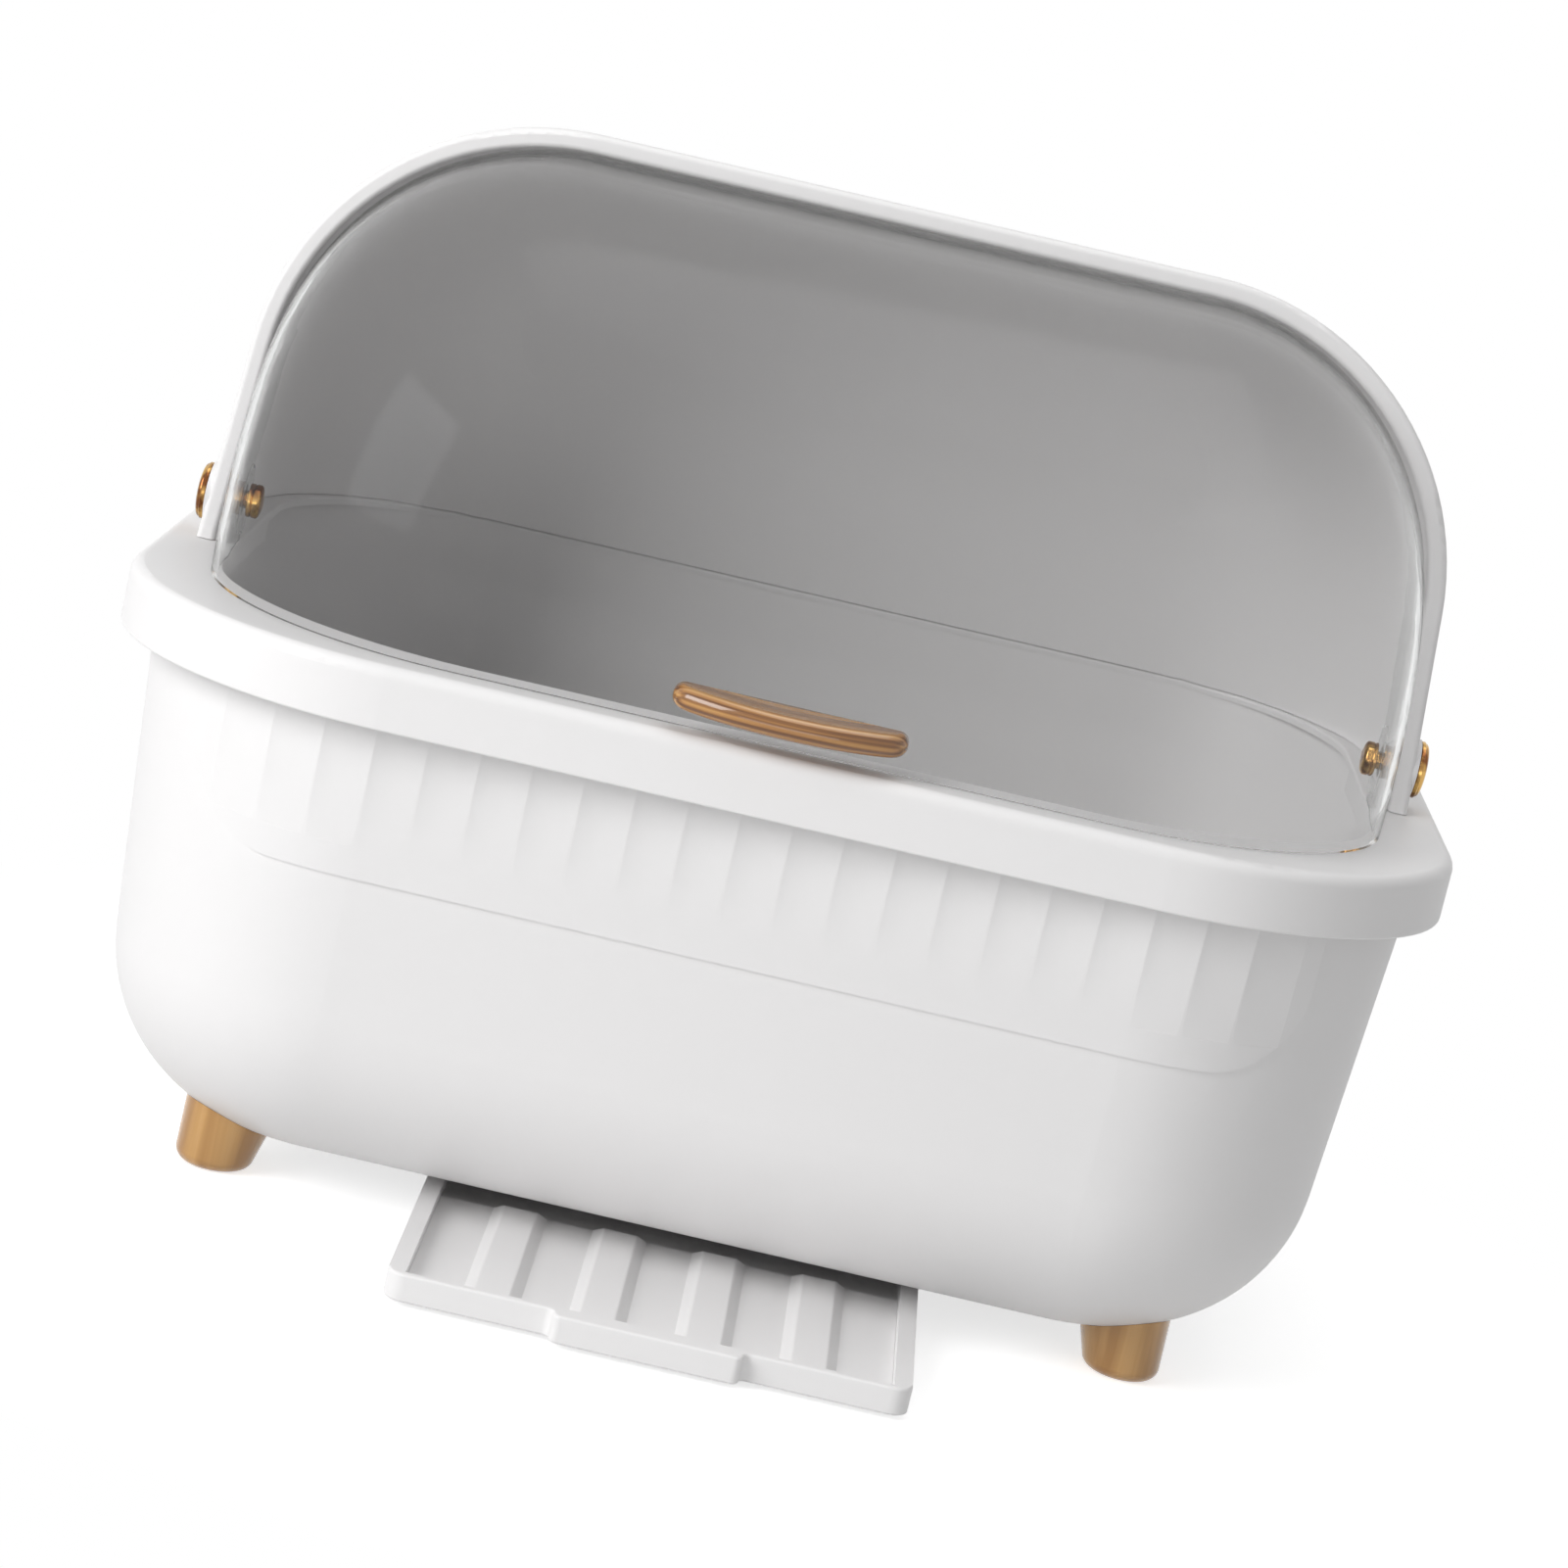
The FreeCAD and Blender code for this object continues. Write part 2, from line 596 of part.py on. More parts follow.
def make_rail():
    """Right rail: foot against the tub, web beside the tray and lip under its edge."""
    web_x = TRAY_HALF_W + RAIL_SIDE_GAP
    lip_x = TRAY_HALF_W - TRAY_UNDERCUT + RAIL_SIDE_GAP
    lip_z = TRAY_TOP_Z - TRAY_SIDE_DROP - TRAY_RIM_T - SEAT_GAP
    half_l = RAIL_LENGTH / 2
    foot_z = TUB_BOTTOM_Z - RAIL_FOOT_T
    rail = block(web_x, web_x + RAIL_FOOT_W, -half_l, half_l, foot_z, TUB_BOTTOM_Z)
    web = block(web_x, web_x + RAIL_WEB_T, -half_l, half_l, lip_z - RAIL_LIP_T, TUB_BOTTOM_Z)
    lip = block(lip_x, web_x + RAIL_WEB_T, -half_l, half_l, lip_z - RAIL_LIP_T, lip_z)
    rail = rail.fuse([web, lip])
    for point in rail_screw_points():
        rail = rail.cut(Part.makeCylinder(RAIL_SCREW_R, FAR, point - Z_AXIS * PAST))
    return rail.removeSplitter()


def make_rail_screws():
    """Screws up through the rails' feet."""
    pattern = screw(RAIL_SCREW_HEAD_R, RAIL_SCREW_HEAD_H, RAIL_SCREW_R, RAIL_SCREW_L)
    return Part.makeCompound([along(pattern, point, Z_AXIS) for point in rail_screw_points()])


def tray_outline(inset, z):
    """Plan outline of the tray, set in all round."""
    return rounded_rect(
        TRAY_HALF_W - inset,
        TRAY_LENGTH / 2 - inset,
        TRAY_CORNER_R - inset,
        z,
        mid_y=(TRAY_FRONT_Y + TRAY_BACK_Y) / 2,
    )


def make_tray_rib(index):
    """One raised bar on the deck, bevelled at its sides and its back end."""
    mid = (index - (TRAY_RIB_COUNT - 1) / 2) * TRAY_RIB_PITCH
    z_low = TRAY_BOTTOM_Z + TRAY_FLOOR_T + TRAY_DECK_H
    half_foot = TRAY_RIB_FOOT_W / 2
    half_top = TRAY_RIB_TOP_W / 2
    front = TRAY_FRONT_Y + TRAY_END_WALL + FIX_GAP
    back = TRAY_FRONT_Y + TRAY_END_WALL + TRAY_DECK_L
    bevel = half_foot - half_top
    feet = [
        Vector(mid - half_foot, front, z_low),
        Vector(mid + half_foot, front, z_low),
        Vector(mid + half_foot, back, z_low),
        Vector(mid - half_foot, back, z_low),
    ]
    z_high = z_low + TRAY_RIB_H
    tops = [
        Vector(mid - half_top, front, z_high),
        Vector(mid + half_top, front, z_high),
        Vector(mid + half_top, back - bevel, z_high),
        Vector(mid - half_top, back - bevel, z_high),
    ]
    around = [(i, (i + 1) % 4, (i + 1) % 4 + 4, i + 4) for i in range(4)]
    rib = polyhedron(feet + tops, [(3, 2, 1, 0), (4, 5, 6, 7)] + around)
    crest = [e for e in edges_at(rib, z=z_high) if e.BoundBox.YMax > front + SAME]
    return rib.makeFillet(TRAY_RIB_EDGE_R, crest)


def make_tray_pull():
    """Shallow finger pull across the tray's front, blended in at its ends."""
    half_w = TRAY_PULL_W / 2
    bend = TRAY_PULL_OUT / 2
    y0 = TRAY_FRONT_Y
    z0 = TRAY_BOTTOM_Z
    turn = bend * math.sqrt(0.5)
    edges = []
    for side in (-1, 1):
        start = Vector(side * (half_w + bend), y0, z0)
        first = Vector(side * (half_w + bend - turn), y0 - bend + turn, z0)
        middle = Vector(side * half_w, y0 - bend, z0)
        second = Vector(side * (half_w - bend + turn), y0 - bend - turn, z0)
        finish = Vector(side * (half_w - bend), y0 - TRAY_PULL_OUT, z0)
        edges.append(Part.Arc(start, first, middle).toShape())
        edges.append(Part.Arc(middle, second, finish).toShape())
    edges.append(Part.makeLine(Vector(bend - half_w, y0 - TRAY_PULL_OUT, z0),
                               Vector(half_w - bend, y0 - TRAY_PULL_OUT, z0)))
    back_left = Vector(-half_w - bend, y0 + TRAY_END_WALL / 2, z0)
    back_right = Vector(half_w + bend, y0 + TRAY_END_WALL / 2, z0)
    edges.append(Part.makeLine(Vector(-half_w - bend, y0, z0), back_left))
    edges.append(Part.makeLine(back_left, back_right))
    edges.append(Part.makeLine(back_right, Vector(half_w + bend, y0, z0)))
    pull = prism(Part.Wire(Part.__sortEdges__(edges)), TRAY_HEIGHT)
    for z, radius in ((z0, TRAY_HEM_R), (TRAY_TOP_Z, TRAY_EDGE_R)):
        fronts = [e for e in edges_at(pull, z=z) if e.BoundBox.YMax < y0 + SAME]
        pull = pull.makeFillet(radius, fronts)
    return pull


def make_drip_tray():
    """Shallow tray with hanging side edges and a finger pull."""
    plan = prism(tray_outline(0.0, TRAY_BOTTOM_Z), TRAY_HEIGHT)
    plan = plan.makeFillet(TRAY_HEM_R, edges_at(plan, z=TRAY_BOTTOM_Z))
    plan = plan.makeFillet(TRAY_EDGE_R, edges_at(plan, z=TRAY_TOP_Z))
    behind = TRAY_FRONT_Y + TRAY_CORNER_R
    edge_z = TRAY_TOP_Z - TRAY_SIDE_DROP
    side_x = TRAY_HALF_W - TRAY_UNDERCUT
    cuts = [block(-FAR, FAR, behind, FAR, edge_z, FAR)]
    for side in (-1, 1):
        x0, x1 = sorted((side * side_x, side * FAR))
        cuts.append(block(x0, x1, behind, FAR, -FAR, edge_z - TRAY_RIM_T))
    hollow = prism(tray_outline(TRAY_END_WALL, TRAY_BOTTOM_Z + TRAY_FLOOR_T), FAR)
    inner_x = TRAY_HALF_W - TRAY_RIM_W
    cuts.append(hollow.common(block(-inner_x, inner_x, -FAR, FAR, -FAR, FAR)))
    return plan.cut(cuts).fuse(make_tray_pull()).removeSplitter()


def make_tray_deck():
    """Ribbed plate that lies in the front of the tray, above the depth of its basin."""
    outline = tray_outline(TRAY_END_WALL + FIX_GAP, TRAY_BOTTOM_Z + TRAY_FLOOR_T)
    half_w = TRAY_HALF_W - TRAY_RIM_W - FIX_GAP
    back = TRAY_FRONT_Y + TRAY_END_WALL + TRAY_DECK_L
    plate = prism(outline, TRAY_DECK_H).common(block(-half_w, half_w, -FAR, back, -FAR, FAR))
    ribs = [make_tray_rib(index) for index in range(TRAY_RIB_COUNT)]
    return plate.fuse(ribs).removeSplitter()


# Hood and hinge

def arch_half_width(inset, z):
    """Half width of the arch's leaning side at a height."""
    return HOOD_HALF_W - (z - RIM_TOP_Z) * math.tan(HOOD_LEAN) - inset / math.cos(HOOD_LEAN)


def arch_outline(inset, y, z_low):
    """Arch seen from the front: leaning sides, round shoulders and a flat top."""
    radius = HOOD_SHOULDER_R - inset
    top = HOOD_TOP_Z - inset
    centre_z = top - radius
    centre_x = arch_half_width(inset, centre_z) - radius / math.cos(HOOD_LEAN)
    shoulder = []
    for angle in (HOOD_LEAN, (HOOD_LEAN + math.pi / 2) / 2, math.pi / 2):
        x = centre_x + radius * math.cos(angle)
        shoulder.append(Vector(x, y, centre_z + radius * math.sin(angle)))
    foot = Vector(arch_half_width(inset, z_low), y, z_low)
    opposite = [Vector(-p.x, p.y, p.z) for p in shoulder]
    left_foot = Vector(-foot.x, y, z_low)
    edges = [
        Part.makeLine(foot, shoulder[0]),
        Part.Arc(*shoulder).toShape(),
        Part.makeLine(shoulder[2], opposite[2]),
        Part.Arc(opposite[2], opposite[1], opposite[0]).toShape(),
        Part.makeLine(opposite[0], left_foot),
        Part.makeLine(left_foot, foot),
    ]
    return Part.Wire(edges)


def hood_form(inset, y_front, z_low):
    """Arch drawn back, and a little down, to a rear wall with wide corners and a closer bend on top."""
    y_back = HOOD_BACK_Y - inset
    fall = math.tan(HOOD_FALL)
    arch = Part.Face(arch_outline(inset, HOOD_FRONT_Y, z_low - PAST))
    arch.translate(Vector(0, y_front - HOOD_FRONT_Y, (HOOD_FRONT_Y - y_front) * fall))
    body = arch.extrude(Vector(0, 1, -fall) * (y_back - y_front))
    half = body.common(block(0, FAR, -FAR, FAR, -FAR, FAR))
    shoulder = [e for e in edges_at(half, y=y_back) if not isinstance(e.Curve, Part.Line)]
    half = half.makeFillet(HOOD_CORNER_R - inset, HOOD_BEND_R - inset, shoulder)
    whole = half.fuse(mirrored(half)).removeSplitter()
    return whole.common(block(-FAR, FAR, -FAR, FAR, z_low, FAR))


def locating_pegs(gap):
    """Flat pegs under the hood's sides, or the slots they need."""
    half_l = PEG_L / 2 + gap
    half_t = PEG_T / 2 + gap
    z0 = RIM_TOP_Z - PEG_H - gap
    z1 = HOOD_FOOT_Z + SAME
    mid = HOOD_HALF_W - HOOD_WALL / 2
    pegs = []
    for y in PEG_SIDE_Y:
        for _, side in SIDES:
            x = side * mid
            pegs.append(block(x - half_t, x + half_t, y - half_l, y + half_l, z0, z1))
    return pegs


def pivot_rod(radius, x0, x1):
    """Cylinder on the visor's hinge line between two distances from the middle."""
    return Part.makeCylinder(radius, x1 - x0, Vector(x0, PIVOT_Y, PIVOT_Z), X_AXIS)


def make_hood_shell():
    """Hood: thin shell, thick front arch, hinge bosses and locating pegs."""
    outer = hood_form(0.0, HOOD_FRONT_Y, HOOD_FOOT_Z)
    inner = hood_form(HOOD_WALL, HOOD_FRONT_Y - PAST, HOOD_FOOT_Z - PAST)
    arch = Part.Face(arch_outline(0.0, HOOD_FRONT_Y, HOOD_FOOT_Z)).extrude(Y_AXIS * ARCH_D)
    opening = Part.Face(arch_outline(ARCH_W, HOOD_FRONT_Y - PAST, HOOD_FOOT_Z - PAST))
    arch = arch.cut(opening.extrude(Y_AXIS * (ARCH_D + 2 * PAST)))
    front = [e for e in edges_at(arch, y=HOOD_FRONT_Y) if not edge_lies_at(e, HOOD_FOOT_Z)]
    arch = arch.makeFillet(ARCH_EDGE_R, front)
    ahead = block(-FAR, FAR, -FAR, HOOD_FRONT_Y + ARCH_D / 2, -FAR, FAR)
    shell = outer.cut([inner, ahead])
    boss = pivot_rod(PAD_R, BOSS_X, arch_half_width(HOOD_WALL / 2, PIVOT_Z + PAD_R))
    pad = pivot_rod(PAD_R, arch_half_width(HOOD_WALL / 2, PIVOT_Z + PAD_R), PAD_X)
    added = [arch]
    for _, side in SIDES:
        added.append(on_side(boss, side))
        added.append(on_side(pad, side))
    hood = shell.fuse(added + locating_pegs(0.0))
    bore = pivot_rod(PIN_R + RUN_GAP, BOSS_X - PAST, PAD_X + PAST)
    return hood.cut([bore, mirrored(bore)]).removeSplitter()


def make_hinge_pin():
    """Right pin: domed cap outside the hood and a plain shaft through both walls."""
    cap = pivot_rod(CAP_R, PAD_X, PAD_X + CAP_T)
    cap = cap.makeFillet(CAP_EDGE_R, edges_at(cap, x=PAD_X + CAP_T))
    shaft = pivot_rod(PIN_R, HUB_IN_X - WASHER_GAP - NUT_T + NUT_COVER, PAD_X + SAME)
    return cap.fuse(shaft).removeSplitter()


def make_hinge_washer():
    """Right spacer between the hood's boss and the visor."""
    x0 = HUB_OUT_X + WASHER_GAP
    washer = pivot_rod(WASHER_R, x0, x0 + WASHER_T)
    return washer.cut(pivot_rod(PIN_R + RUN_GAP, x0 - PAST, x0 + PAST))


def make_hinge_nut():
    """Right closed nut on the shaft's inner end."""
    x1 = HUB_IN_X - WASHER_GAP
    nut = pivot_rod(NUT_R, x1 - NUT_T, x1)
    nut = nut.makeFillet(NUT_EDGE_R, edges_at(nut, x=x1 - NUT_T))
    return nut.cut(pivot_rod(PIN_R, x1 - NUT_T + NUT_COVER, x1 + PAST))


# Visor

def visor_form(inset):
    """The arch's own outline turned about the hinge line, from the tuck down to the front."""
    face = Part.Face(arch_outline(VISOR_INSET + inset, PIVOT_Y, PIVOT_Z))
    pivot = Vector(0, PIVOT_Y, PIVOT_Z)
    face.rotate(pivot, X_AXIS, -math.degrees(VISOR_TUCK))
    return face.revolve(pivot, X_AXIS, 180.0 + math.degrees(VISOR_TUCK))


def make_visor_shell():
    """Clear visor: one wall all over, with a hub at each hinge."""
    shell = visor_form(0.0).cut(visor_form(VISOR_WALL))
    hub = pivot_rod(VISOR_HUB_R, HUB_IN_X, HUB_OUT_X)
    shell = shell.fuse([hub, mirrored(hub)])
    below = block(-FAR, FAR, -FAR, FAR, -FAR, HOOD_FOOT_Z)
    inner_ends = pivot_rod(VISOR_HUB_R, HUB_IN_X - FAR / 4, HUB_IN_X)
    outer_ends = pivot_rod(VISOR_HUB_R, HUB_OUT_X, FAR)
    bore = pivot_rod(PIN_R + RUN_GAP, HUB_IN_X - PAST, FAR)
    cuts = [below]
    for _, side in SIDES:
        cuts = cuts + [on_side(tool, side) for tool in (inner_ends, outer_ends, bore)]
    bores = [handle_place(tool) for tool in handle_screw_tools(HANDLE_SCREW_R + FIX_GAP)]
    return shell.cut(cuts + bores).removeSplitter()


def handle_place(shape):
    """Turn a shape drawn at hinge height down to the handle's height on the visor."""
    turned = shape.copy()
    drop = math.asin((PIVOT_ABOVE_RIM - HANDLE_ABOVE_RIM) / VISOR_R)
    turned.rotate(Vector(0, PIVOT_Y, PIVOT_Z), X_AXIS, math.degrees(drop))
    return turned


def handle_screw_seats():
    """Seats of the handle's screws on the visor's inner face, drawn at hinge height."""
    y = PIVOT_Y - VISOR_R + VISOR_WALL
    return [Vector(side * HANDLE_SCREW_X, y, PIVOT_Z) for _, side in SIDES]


def handle_screw_tools(radius):
    """Bores for the handle's screws."""
    tools = []
    for seat in handle_screw_seats():
        tools.append(Part.makeCylinder(radius, HANDLE_SCREW_L + PAST, seat + Y_AXIS * PAST, -Y_AXIS))
    return tools


def make_visor_handle():
    """Bowed grip with soft edges, shaped to the visor behind."""
    y_wall = PIVOT_Y - VISOR_R
    z_low = PIVOT_Z - HANDLE_T / 2
    half_w = HANDLE_W / 2
    back = y_wall + HANDLE_EDGE_R + VISOR_WALL
    corner = y_wall - HANDLE_END_OUT
    front = Part.Arc(
        Vector(-half_w, corner, z_low),
        Vector(0, y_wall - HANDLE_OUT, z_low),
        Vector(half_w, corner, z_low),
    ).toShape()
    edges = [
        front,
        Part.makeLine(Vector(half_w, corner, z_low), Vector(half_w, back, z_low)),
        Part.makeLine(Vector(half_w, back, z_low), Vector(-half_w, back, z_low)),
        Part.makeLine(Vector(-half_w, back, z_low), Vector(-half_w, corner, z_low)),
    ]
    grip = prism(Part.Wire(edges), HANDLE_T)
    upright = [e for e in grip.Edges if abs(e.tangentAt(e.FirstParameter).z) > 1 - SAME]
    ends = [e for e in upright if e.Vertexes[0].Y < y_wall]
    grip = grip.makeFillet(HANDLE_END_R, ends)
    rims = edges_at(grip, z=z_low) + edges_at(grip, z=z_low + HANDLE_T)
    grip = grip.makeFillet(HANDLE_EDGE_R, [e for e in rims if e.BoundBox.YMin < back - SAME])
    wall = pivot_cylinder(VISOR_R + FIX_GAP)
    bores = []
    for seat in handle_screw_seats():
        bores.append(Part.makeCylinder(HANDLE_SCREW_R, HANDLE_SCREW_L, seat, -Y_AXIS))
    return handle_place(grip.cut([wall] + bores))


def pivot_cylinder(radius):
    """Long cylinder about the hinge line."""
    return pivot_rod(radius, -FAR / 2, FAR / 2)


def make_handle_screws():
    """Screws through the visor into the handle."""
    pattern = screw(HANDLE_SCREW_HEAD_R, HANDLE_SCREW_HEAD_H, HANDLE_SCREW_R, HANDLE_SCREW_L)
    screws = [along(pattern, seat + Y_AXIS * FIX_GAP, -Y_AXIS) for seat in handle_screw_seats()]
    return handle_place(Part.makeCompound(screws))


# Rack, combs and cup

def slot_tool(x, y):
    """Round-ended slot through the rack."""
    z_low = RACK_TOP_Z - RACK_T - PAST
    outline = rounded_rect(SLOT_W / 2, SLOT_L / 2, SLOT_W / 2 - SAME, z_low, x, y)
    return prism(outline, RACK_T + 2 * PAST)


def rack_field():
    """Half sizes and corner radius of the rack's slotted field, and its columns to each side."""
    half_w, half_d, radius = tub_inside(RACK_TOP_Z - RACK_SKIRT_H, RACK_CLEAR + RACK_MARGIN)
    return half_w, half_d, radius, int((half_w - SLOT_W / 2) / SLOT_PITCH_X)


def rack_slots():
    """Centres of the slots that lie wholly inside the rack's border."""
    half_w, half_d, radius, columns = rack_field()
    rows = int(half_d / SLOT_PITCH_Y) + 1
    centres = []
    for column in range(-columns, columns + 1):
        for row in range(-rows, rows):
            x = column * SLOT_PITCH_X
            y = (row + 0.5) * SLOT_PITCH_Y
            over_x = max(abs(x) + SLOT_W / 2 - (half_w - radius), 0.0)
            over_y = max(abs(y) + SLOT_L / 2 - (half_d - radius), 0.0)
            if math.hypot(over_x, over_y) < radius:
                centres.append((x, y))
    return centres


def make_drain_rack():
    """Slotted floor for dishes with a skirt round it and short feet."""
    skirt_z = RACK_TOP_Z - RACK_SKIRT_H
    sizes = tub_inside(skirt_z, RACK_CLEAR)
    rack = prism(rounded_rect(*sizes, skirt_z), RACK_SKIRT_H)
    rack = rack.makeFillet(RACK_EDGE_R, edges_at(rack, z=RACK_TOP_Z))
    inner = [size - RACK_SKIRT_T for size in sizes]
    rack = rack.cut(prism(rounded_rect(*inner, skirt_z - PAST), RACK_SKIRT_H - RACK_T + PAST))
    foot_z = TUB_FLOOR_Z + SEAT_GAP
    feet = []
    for x in (-RACK_FOOT_X, 0.0, RACK_FOOT_X):
        for y in (-RACK_FOOT_Y, RACK_FOOT_Y):
            feet.append(Part.makeCylinder(RACK_FOOT_R, RACK_TOP_Z - foot_z, Vector(x, y, foot_z)))
    rack = rack.cut([slot_tool(x, y) for x, y in rack_slots()])
    return rack.fuse(feet).removeSplitter()


def make_plate_comb(from_end):
    """Row of upright teeth on a rail, pegged into one column of the rack's slots, counted from
    its right end."""
    x = (rack_field()[3] - from_end) * SLOT_PITCH_X
    half_l = (COMB_TOOTH_COUNT - 1) * COMB_PITCH / 2 + COMB_END
    comb = prism(rounded_rect(COMB_W / 2, half_l, COMB_W / 2 - SAME, RACK_TOP_Z, x), COMB_T)
    top = RACK_TOP_Z + COMB_T
    pieces = []
    for index in range(COMB_TOOTH_COUNT):
        y = (index - (COMB_TOOTH_COUNT - 1) / 2) * COMB_PITCH
        tooth = Part.makeCone(COMB_TOOTH_R, COMB_TIP_R, COMB_TOOTH_H, Vector(x, y, top - SAME))
        pieces.append(tooth.fuse(Part.makeSphere(COMB_TIP_R, Vector(x, y, top + COMB_TOOTH_H - SAME))))
    for side in (-1, 1):
        centre = Vector(x, side * SLOT_PITCH_Y * COMB_PEG_ROW, RACK_TOP_Z - COMB_PEG_H)
        pieces.append(Part.makeCylinder(COMB_PEG_R, COMB_PEG_H + SAME, centre))
    return comb.fuse(pieces).removeSplitter()


def cup_outline(inset, z):
    """Plan outline of the cutlery cup."""
    return rounded_rect(CUP_W / 2 - inset, CUP_D / 2 - inset, CUP_CORNER_R - inset, z, CUP_X, CUP_Y)


def make_cutlery_cup():
    """Upright cup with a rolled lip, a middle wall, side vents and floor holes."""
    low = RACK_TOP_Z + SEAT_GAP
    cup = prism(cup_outline(0.0, low), CUP_H)
    cup = cup.fuse(prism(cup_outline(-CUP_LIP_W, low + CUP_H - CUP_LIP_H), CUP_LIP_H))
    cup = cup.cut(prism(cup_outline(CUP_WALL, low + CUP_WALL), CUP_H))
    half_t = CUP_WALL / 2
    y0 = CUP_Y - CUP_D / 2 + half_t
    y1 = CUP_Y + CUP_D / 2 - half_t
    divider_top = low + CUP_H - 2 * CUP_LIP_H
    cup = cup.fuse(block(CUP_X - half_t, CUP_X + half_t, y0, y1, low, divider_top))
    holes = []
    for column in range(CUP_HOLE_COLUMNS + 1):
        for row in range(CUP_HOLE_ROWS):
            x = CUP_X + (column - CUP_HOLE_COLUMNS / 2) * CUP_HOLE_PITCH
            y = CUP_Y + (row - (CUP_HOLE_ROWS - 1) / 2) * CUP_HOLE_PITCH
            below = Vector(x, y, low - PAST)
            holes.append(Part.makeCylinder(CUP_HOLE_R, PAST + CUP_WALL + SAME, below))
    for index in range(CUP_VENT_COUNT):
        x = CUP_X + (index - (CUP_VENT_COUNT - 1) / 2) * CUP_VENT_PITCH
        z = low + CUP_VENT_FOOT + CUP_VENT_L / 2
        outline = rounded_rect(CUP_VENT_W / 2, CUP_VENT_L / 2, CUP_VENT_W / 2 - SAME, 0.0)
        vent = prism(outline, CUP_D + 2 * PAST)
        vent.rotate(Vector(), X_AXIS, 90.0)
        vent.translate(Vector(x, CUP_Y + CUP_D / 2 + PAST, z))
        holes.append(vent)
    return cup.cut(holes).removeSplitter()


os.makedirs("parts", exist_ok=True)

save("tub", make_tub())
save("rim_collar", make_rim_collar())
seat = tub_form(-FIX_GAP, TUB_TOP_Z)
for y_name, side_y in (("front", -1), ("rear", 1)):
    for x_name, side_x in SIDES:
        save("leg_" + y_name + "_" + x_name, make_leg(side_x, side_y, seat))
save("leg_screws", make_leg_screws())
save("drain_strainer", make_drain_strainer())
save("drip_tray", make_drip_tray())
save("tray_deck", make_tray_deck())
save("rail_screws", make_rail_screws())
save("hood_shell", make_hood_shell())
for name, side in SIDES:
    save("tray_rail_" + name, on_side(make_rail(), side))
    save("hinge_pin_" + name, on_side(make_hinge_pin(), side))
    save("hinge_washer_" + name, on_side(make_hinge_washer(), side))
    save("hinge_nut_" + name, on_side(make_hinge_nut(), side))
save("visor_shell", make_visor_shell())
save("visor_handle", make_visor_handle())
save("handle_screws", make_handle_screws())
save("drain_rack", make_drain_rack())
for (name, _), from_end in zip(SIDES, COMB_FROM_END):
    save("plate_comb_" + name, make_plate_comb(from_end))
save("cutlery_cup", make_cutlery_cup())
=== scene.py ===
# Covered dish drying box: the looks round its CAD frame. The frame's nodes keep their places,
# and get moulded plastic, clear acrylic, lacquered wood and metal surfaces. Turned and repeated
# pieces are built with Geometry Nodes. Metres; +X right, +Y back, +Z up.
import json
import math

import bpy
from mathutils import Matrix, Vector


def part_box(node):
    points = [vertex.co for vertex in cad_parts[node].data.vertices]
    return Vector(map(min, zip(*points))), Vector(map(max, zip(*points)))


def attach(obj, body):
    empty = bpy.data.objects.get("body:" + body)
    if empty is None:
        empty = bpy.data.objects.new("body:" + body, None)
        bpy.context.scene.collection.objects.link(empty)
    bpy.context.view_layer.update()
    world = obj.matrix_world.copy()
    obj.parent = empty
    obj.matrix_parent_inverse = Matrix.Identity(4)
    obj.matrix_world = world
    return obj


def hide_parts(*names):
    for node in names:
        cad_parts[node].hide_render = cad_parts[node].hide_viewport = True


bl_info = {
    "name": "Covered dish drying box",
    "version": (1, 0, 0),
    "blender": (4, 5, 0),
    "location": "View3D > Sidebar > Drying Box",
    "description": "Builds the surfaces, fine pieces and studio of a covered dish drying box",
    "category": "Add Mesh",
}

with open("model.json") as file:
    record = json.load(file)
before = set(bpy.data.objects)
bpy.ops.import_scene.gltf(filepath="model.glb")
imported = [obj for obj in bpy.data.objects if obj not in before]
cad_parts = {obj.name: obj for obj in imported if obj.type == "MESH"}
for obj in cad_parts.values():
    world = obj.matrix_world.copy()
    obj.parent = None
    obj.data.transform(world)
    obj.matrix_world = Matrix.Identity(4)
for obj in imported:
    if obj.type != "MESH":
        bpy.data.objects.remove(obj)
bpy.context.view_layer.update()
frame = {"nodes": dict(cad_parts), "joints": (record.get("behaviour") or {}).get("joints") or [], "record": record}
NODES = frame["nodes"]
SLOT_OF = {part["node"]: part["material_slot"] for part in frame["record"]["subparts"]}
JOINTS = {joint["name"]: joint for joint in frame["joints"]}

MM = 0.001

# Moulded polypropylene. The gloss drifts by this much of roughness over patches of this size.
# The real spark-eroded grain is about 0.1 mm and too fine to show, so it is drawn coarser.
PLASTIC_IOR = 1.49
PLASTIC_SPECULAR = 0.4
GLOSS_DRIFT = 0.05
DRIFT_SIZE = 111.11 * MM
GRAIN_SIZE = 0.9 * MM

# Clear acrylic. The IOR is matched to the object, whose thin wall shows little of the studio.
# The tint goes from clear to dark between these shares of edge-on, a painted shade on the wall's colour, and the
# wall lets this much of the lamps' light through.
ACRYLIC_IOR = 1.09
EDGE_SHADE_START, EDGE_SHADE_END = 0.72, 0.97
PASSING_LIGHT = (0.85, 0.85, 0.85, 1.0)

